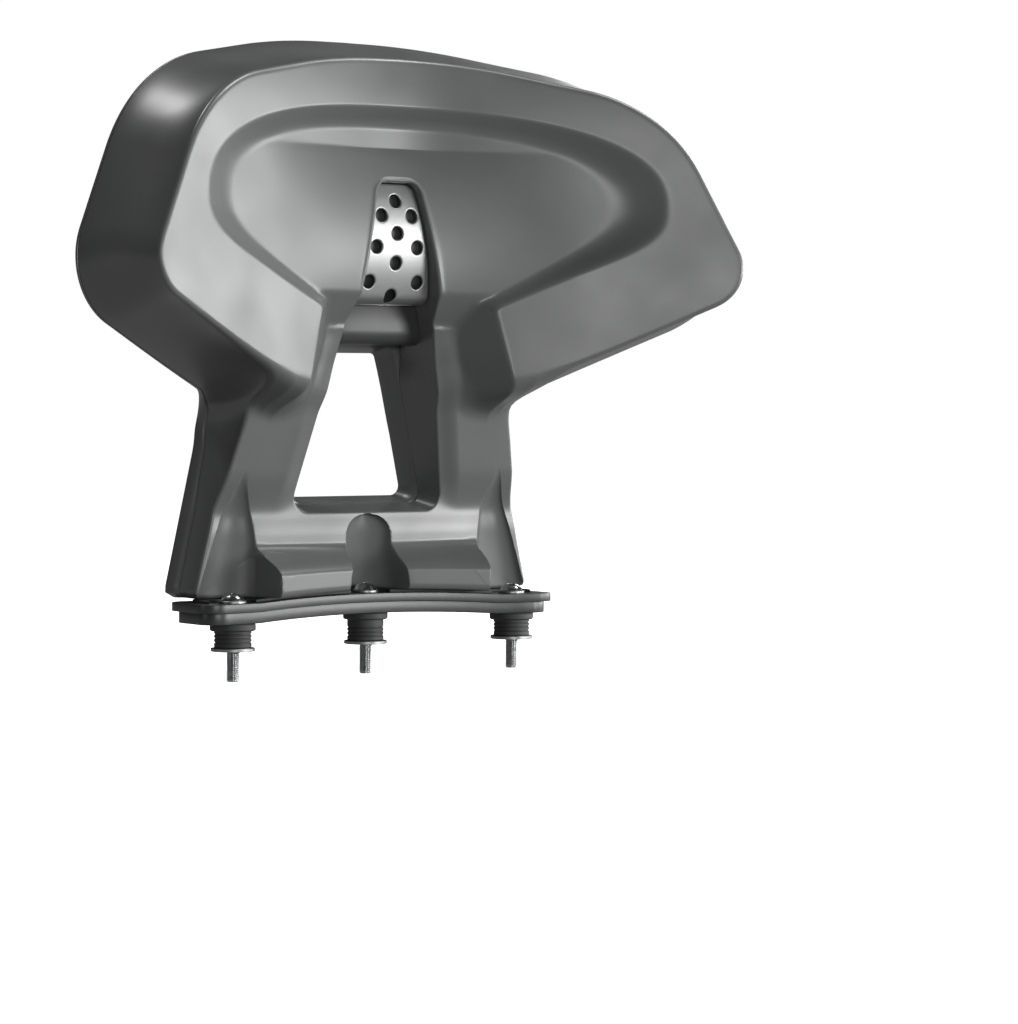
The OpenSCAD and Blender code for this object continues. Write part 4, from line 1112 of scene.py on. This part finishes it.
# ------------------------------------------------------------------ stage, light and camera
def set_floor():
    """Pale floor that the camera sees white but for the object's shadow. Light that
    bounces off it is dim, so that the part's undersides stay dark."""
    low = cad_box[0][2]
    mesh = bpy.data.meshes.new("floor")
    mesh.from_pydata([(-9, -9, low), (9, -9, low), (9, 9, low), (-9, 9, low)], [], [(0, 1, 2, 3)])
    floor = link_piece("floor", mesh)
    material, tree, _ = new_material("pale_matt_floor")
    rays = add(tree, "ShaderNodeLightPath")
    dim = add(tree, "ShaderNodeBsdfDiffuse", {"Color": linear("#474747")})
    matt = add(tree, "ShaderNodeBsdfDiffuse", {"Color": linear("#e9e9e8")})
    glow = add(tree, "ShaderNodeEmission", {"Color": (1, 1, 1, 1), "Strength": 1.0})
    white = add(tree, "ShaderNodeAddShader", {0: matt.outputs[0], 1: glow.outputs[0]})
    mirrored = add(tree, "ShaderNodeEmission", {"Color": (1, 1, 1, 1), "Strength": 0.34})
    bounce = add(tree, "ShaderNodeMixShader", {0: rays.outputs["Is Glossy Ray"], 1: dim.outputs[0],
                                               2: mirrored.outputs[0]})
    both = add(tree, "ShaderNodeMixShader", {0: rays.outputs["Is Camera Ray"], 1: bounce.outputs[0],
                                             2: white.outputs[0]})
    add(tree, "ShaderNodeOutputMaterial", {"Surface": both.outputs[0]})
    mesh.materials.append(material)
    return floor


def set_world(level):
    world = bpy.data.worlds.new("studio")
    bpy.context.scene.world = world
    world.use_nodes = True
    tree = world.node_tree
    tree.nodes.clear()
    rays = add(tree, "ShaderNodeLightPath")
    seen = add(tree, "ShaderNodeMath", {0: rays.outputs["Is Camera Ray"],
                                        1: rays.outputs["Is Transmission Ray"]}, operation="MAXIMUM")
    strength = add(tree, "ShaderNodeMapRange", {"Value": seen.outputs[0], "To Min": level, "To Max": 1.0})
    sky = add(tree, "ShaderNodeBackground", {"Color": (1, 1, 1, 1), "Strength": strength.outputs[0]})
    add(tree, "ShaderNodeOutputWorld", {"Surface": sky.outputs[0]})


def softbox(name, azimuth, elevation, distance, size, power, aim=(0, 0, 0.2)):
    """Area lamp in metres, aimed at the head; azimuth 0 is in front, towards -Y."""
    a, e = math.radians(azimuth), math.radians(elevation)
    place_at = Vector(aim) + distance * Vector((math.sin(a) * math.cos(e), -math.cos(a) * math.cos(e), math.sin(e)))
    lamp = bpy.data.lights.new(name, "AREA")
    lamp.shape = "RECTANGLE"
    lamp.size, lamp.size_y = size
    lamp.energy = power
    holder = bpy.data.objects.new(name, lamp)
    holder.location = place_at
    holder.rotation_euler = (Vector(aim) - place_at).to_track_quat("-Z", "Y").to_euler()
    bpy.context.scene.collection.objects.link(holder)


def set_camera():
    """Camera of the photograph: from the left front, a little above the seat's height."""
    turn, tilt = math.radians(34.068), math.radians(1.785)
    right = Vector((math.cos(turn), -math.sin(turn), 0))
    back = Vector((-math.sin(turn) * math.cos(tilt), -math.cos(turn) * math.cos(tilt), math.sin(tilt)))
    up = back.cross(right)
    camera = bpy.data.cameras.new("photo_camera")
    camera.sensor_width = 36
    camera.lens = 3400 * 36 / 1024
    camera.clip_end = 100
    holder = bpy.data.objects.new("photo_camera", camera)
    turned = Matrix((right, up, back)).transposed().to_4x4()
    offset = Vector((-80.14, -47.77, -2045.4)) * MM
    lifted = Vector((0, 0, 0.032))
    holder.matrix_world = Matrix.Translation(lifted - turned.to_3x3() @ offset) @ turned
    bpy.context.scene.collection.objects.link(holder)
    bpy.context.scene.camera = holder


set_floor()
set_world(0.03)
softbox("key", 72, 56, 2.2, (0.6, 0.6), 26)
softbox("right", 76, 3, 2.2, (2.2, 0.62), 46)
softbox("front", 34, 0, 2.3, (0.9, 0.3), 30)
softbox("back", 128, 20, 2.4, (0.7, 0.7), 9)
softbox("near", -18, 3, 2.3, (1.0, 0.5), 15)
softbox("corner", -150, 60, 1.6, (0.3, 0.3), 7)
softbox("left", -94, 2, 1.8, (0.2, 0.2), 1.2)
set_camera()
bpy.context.scene.view_settings.view_transform = "Standard"
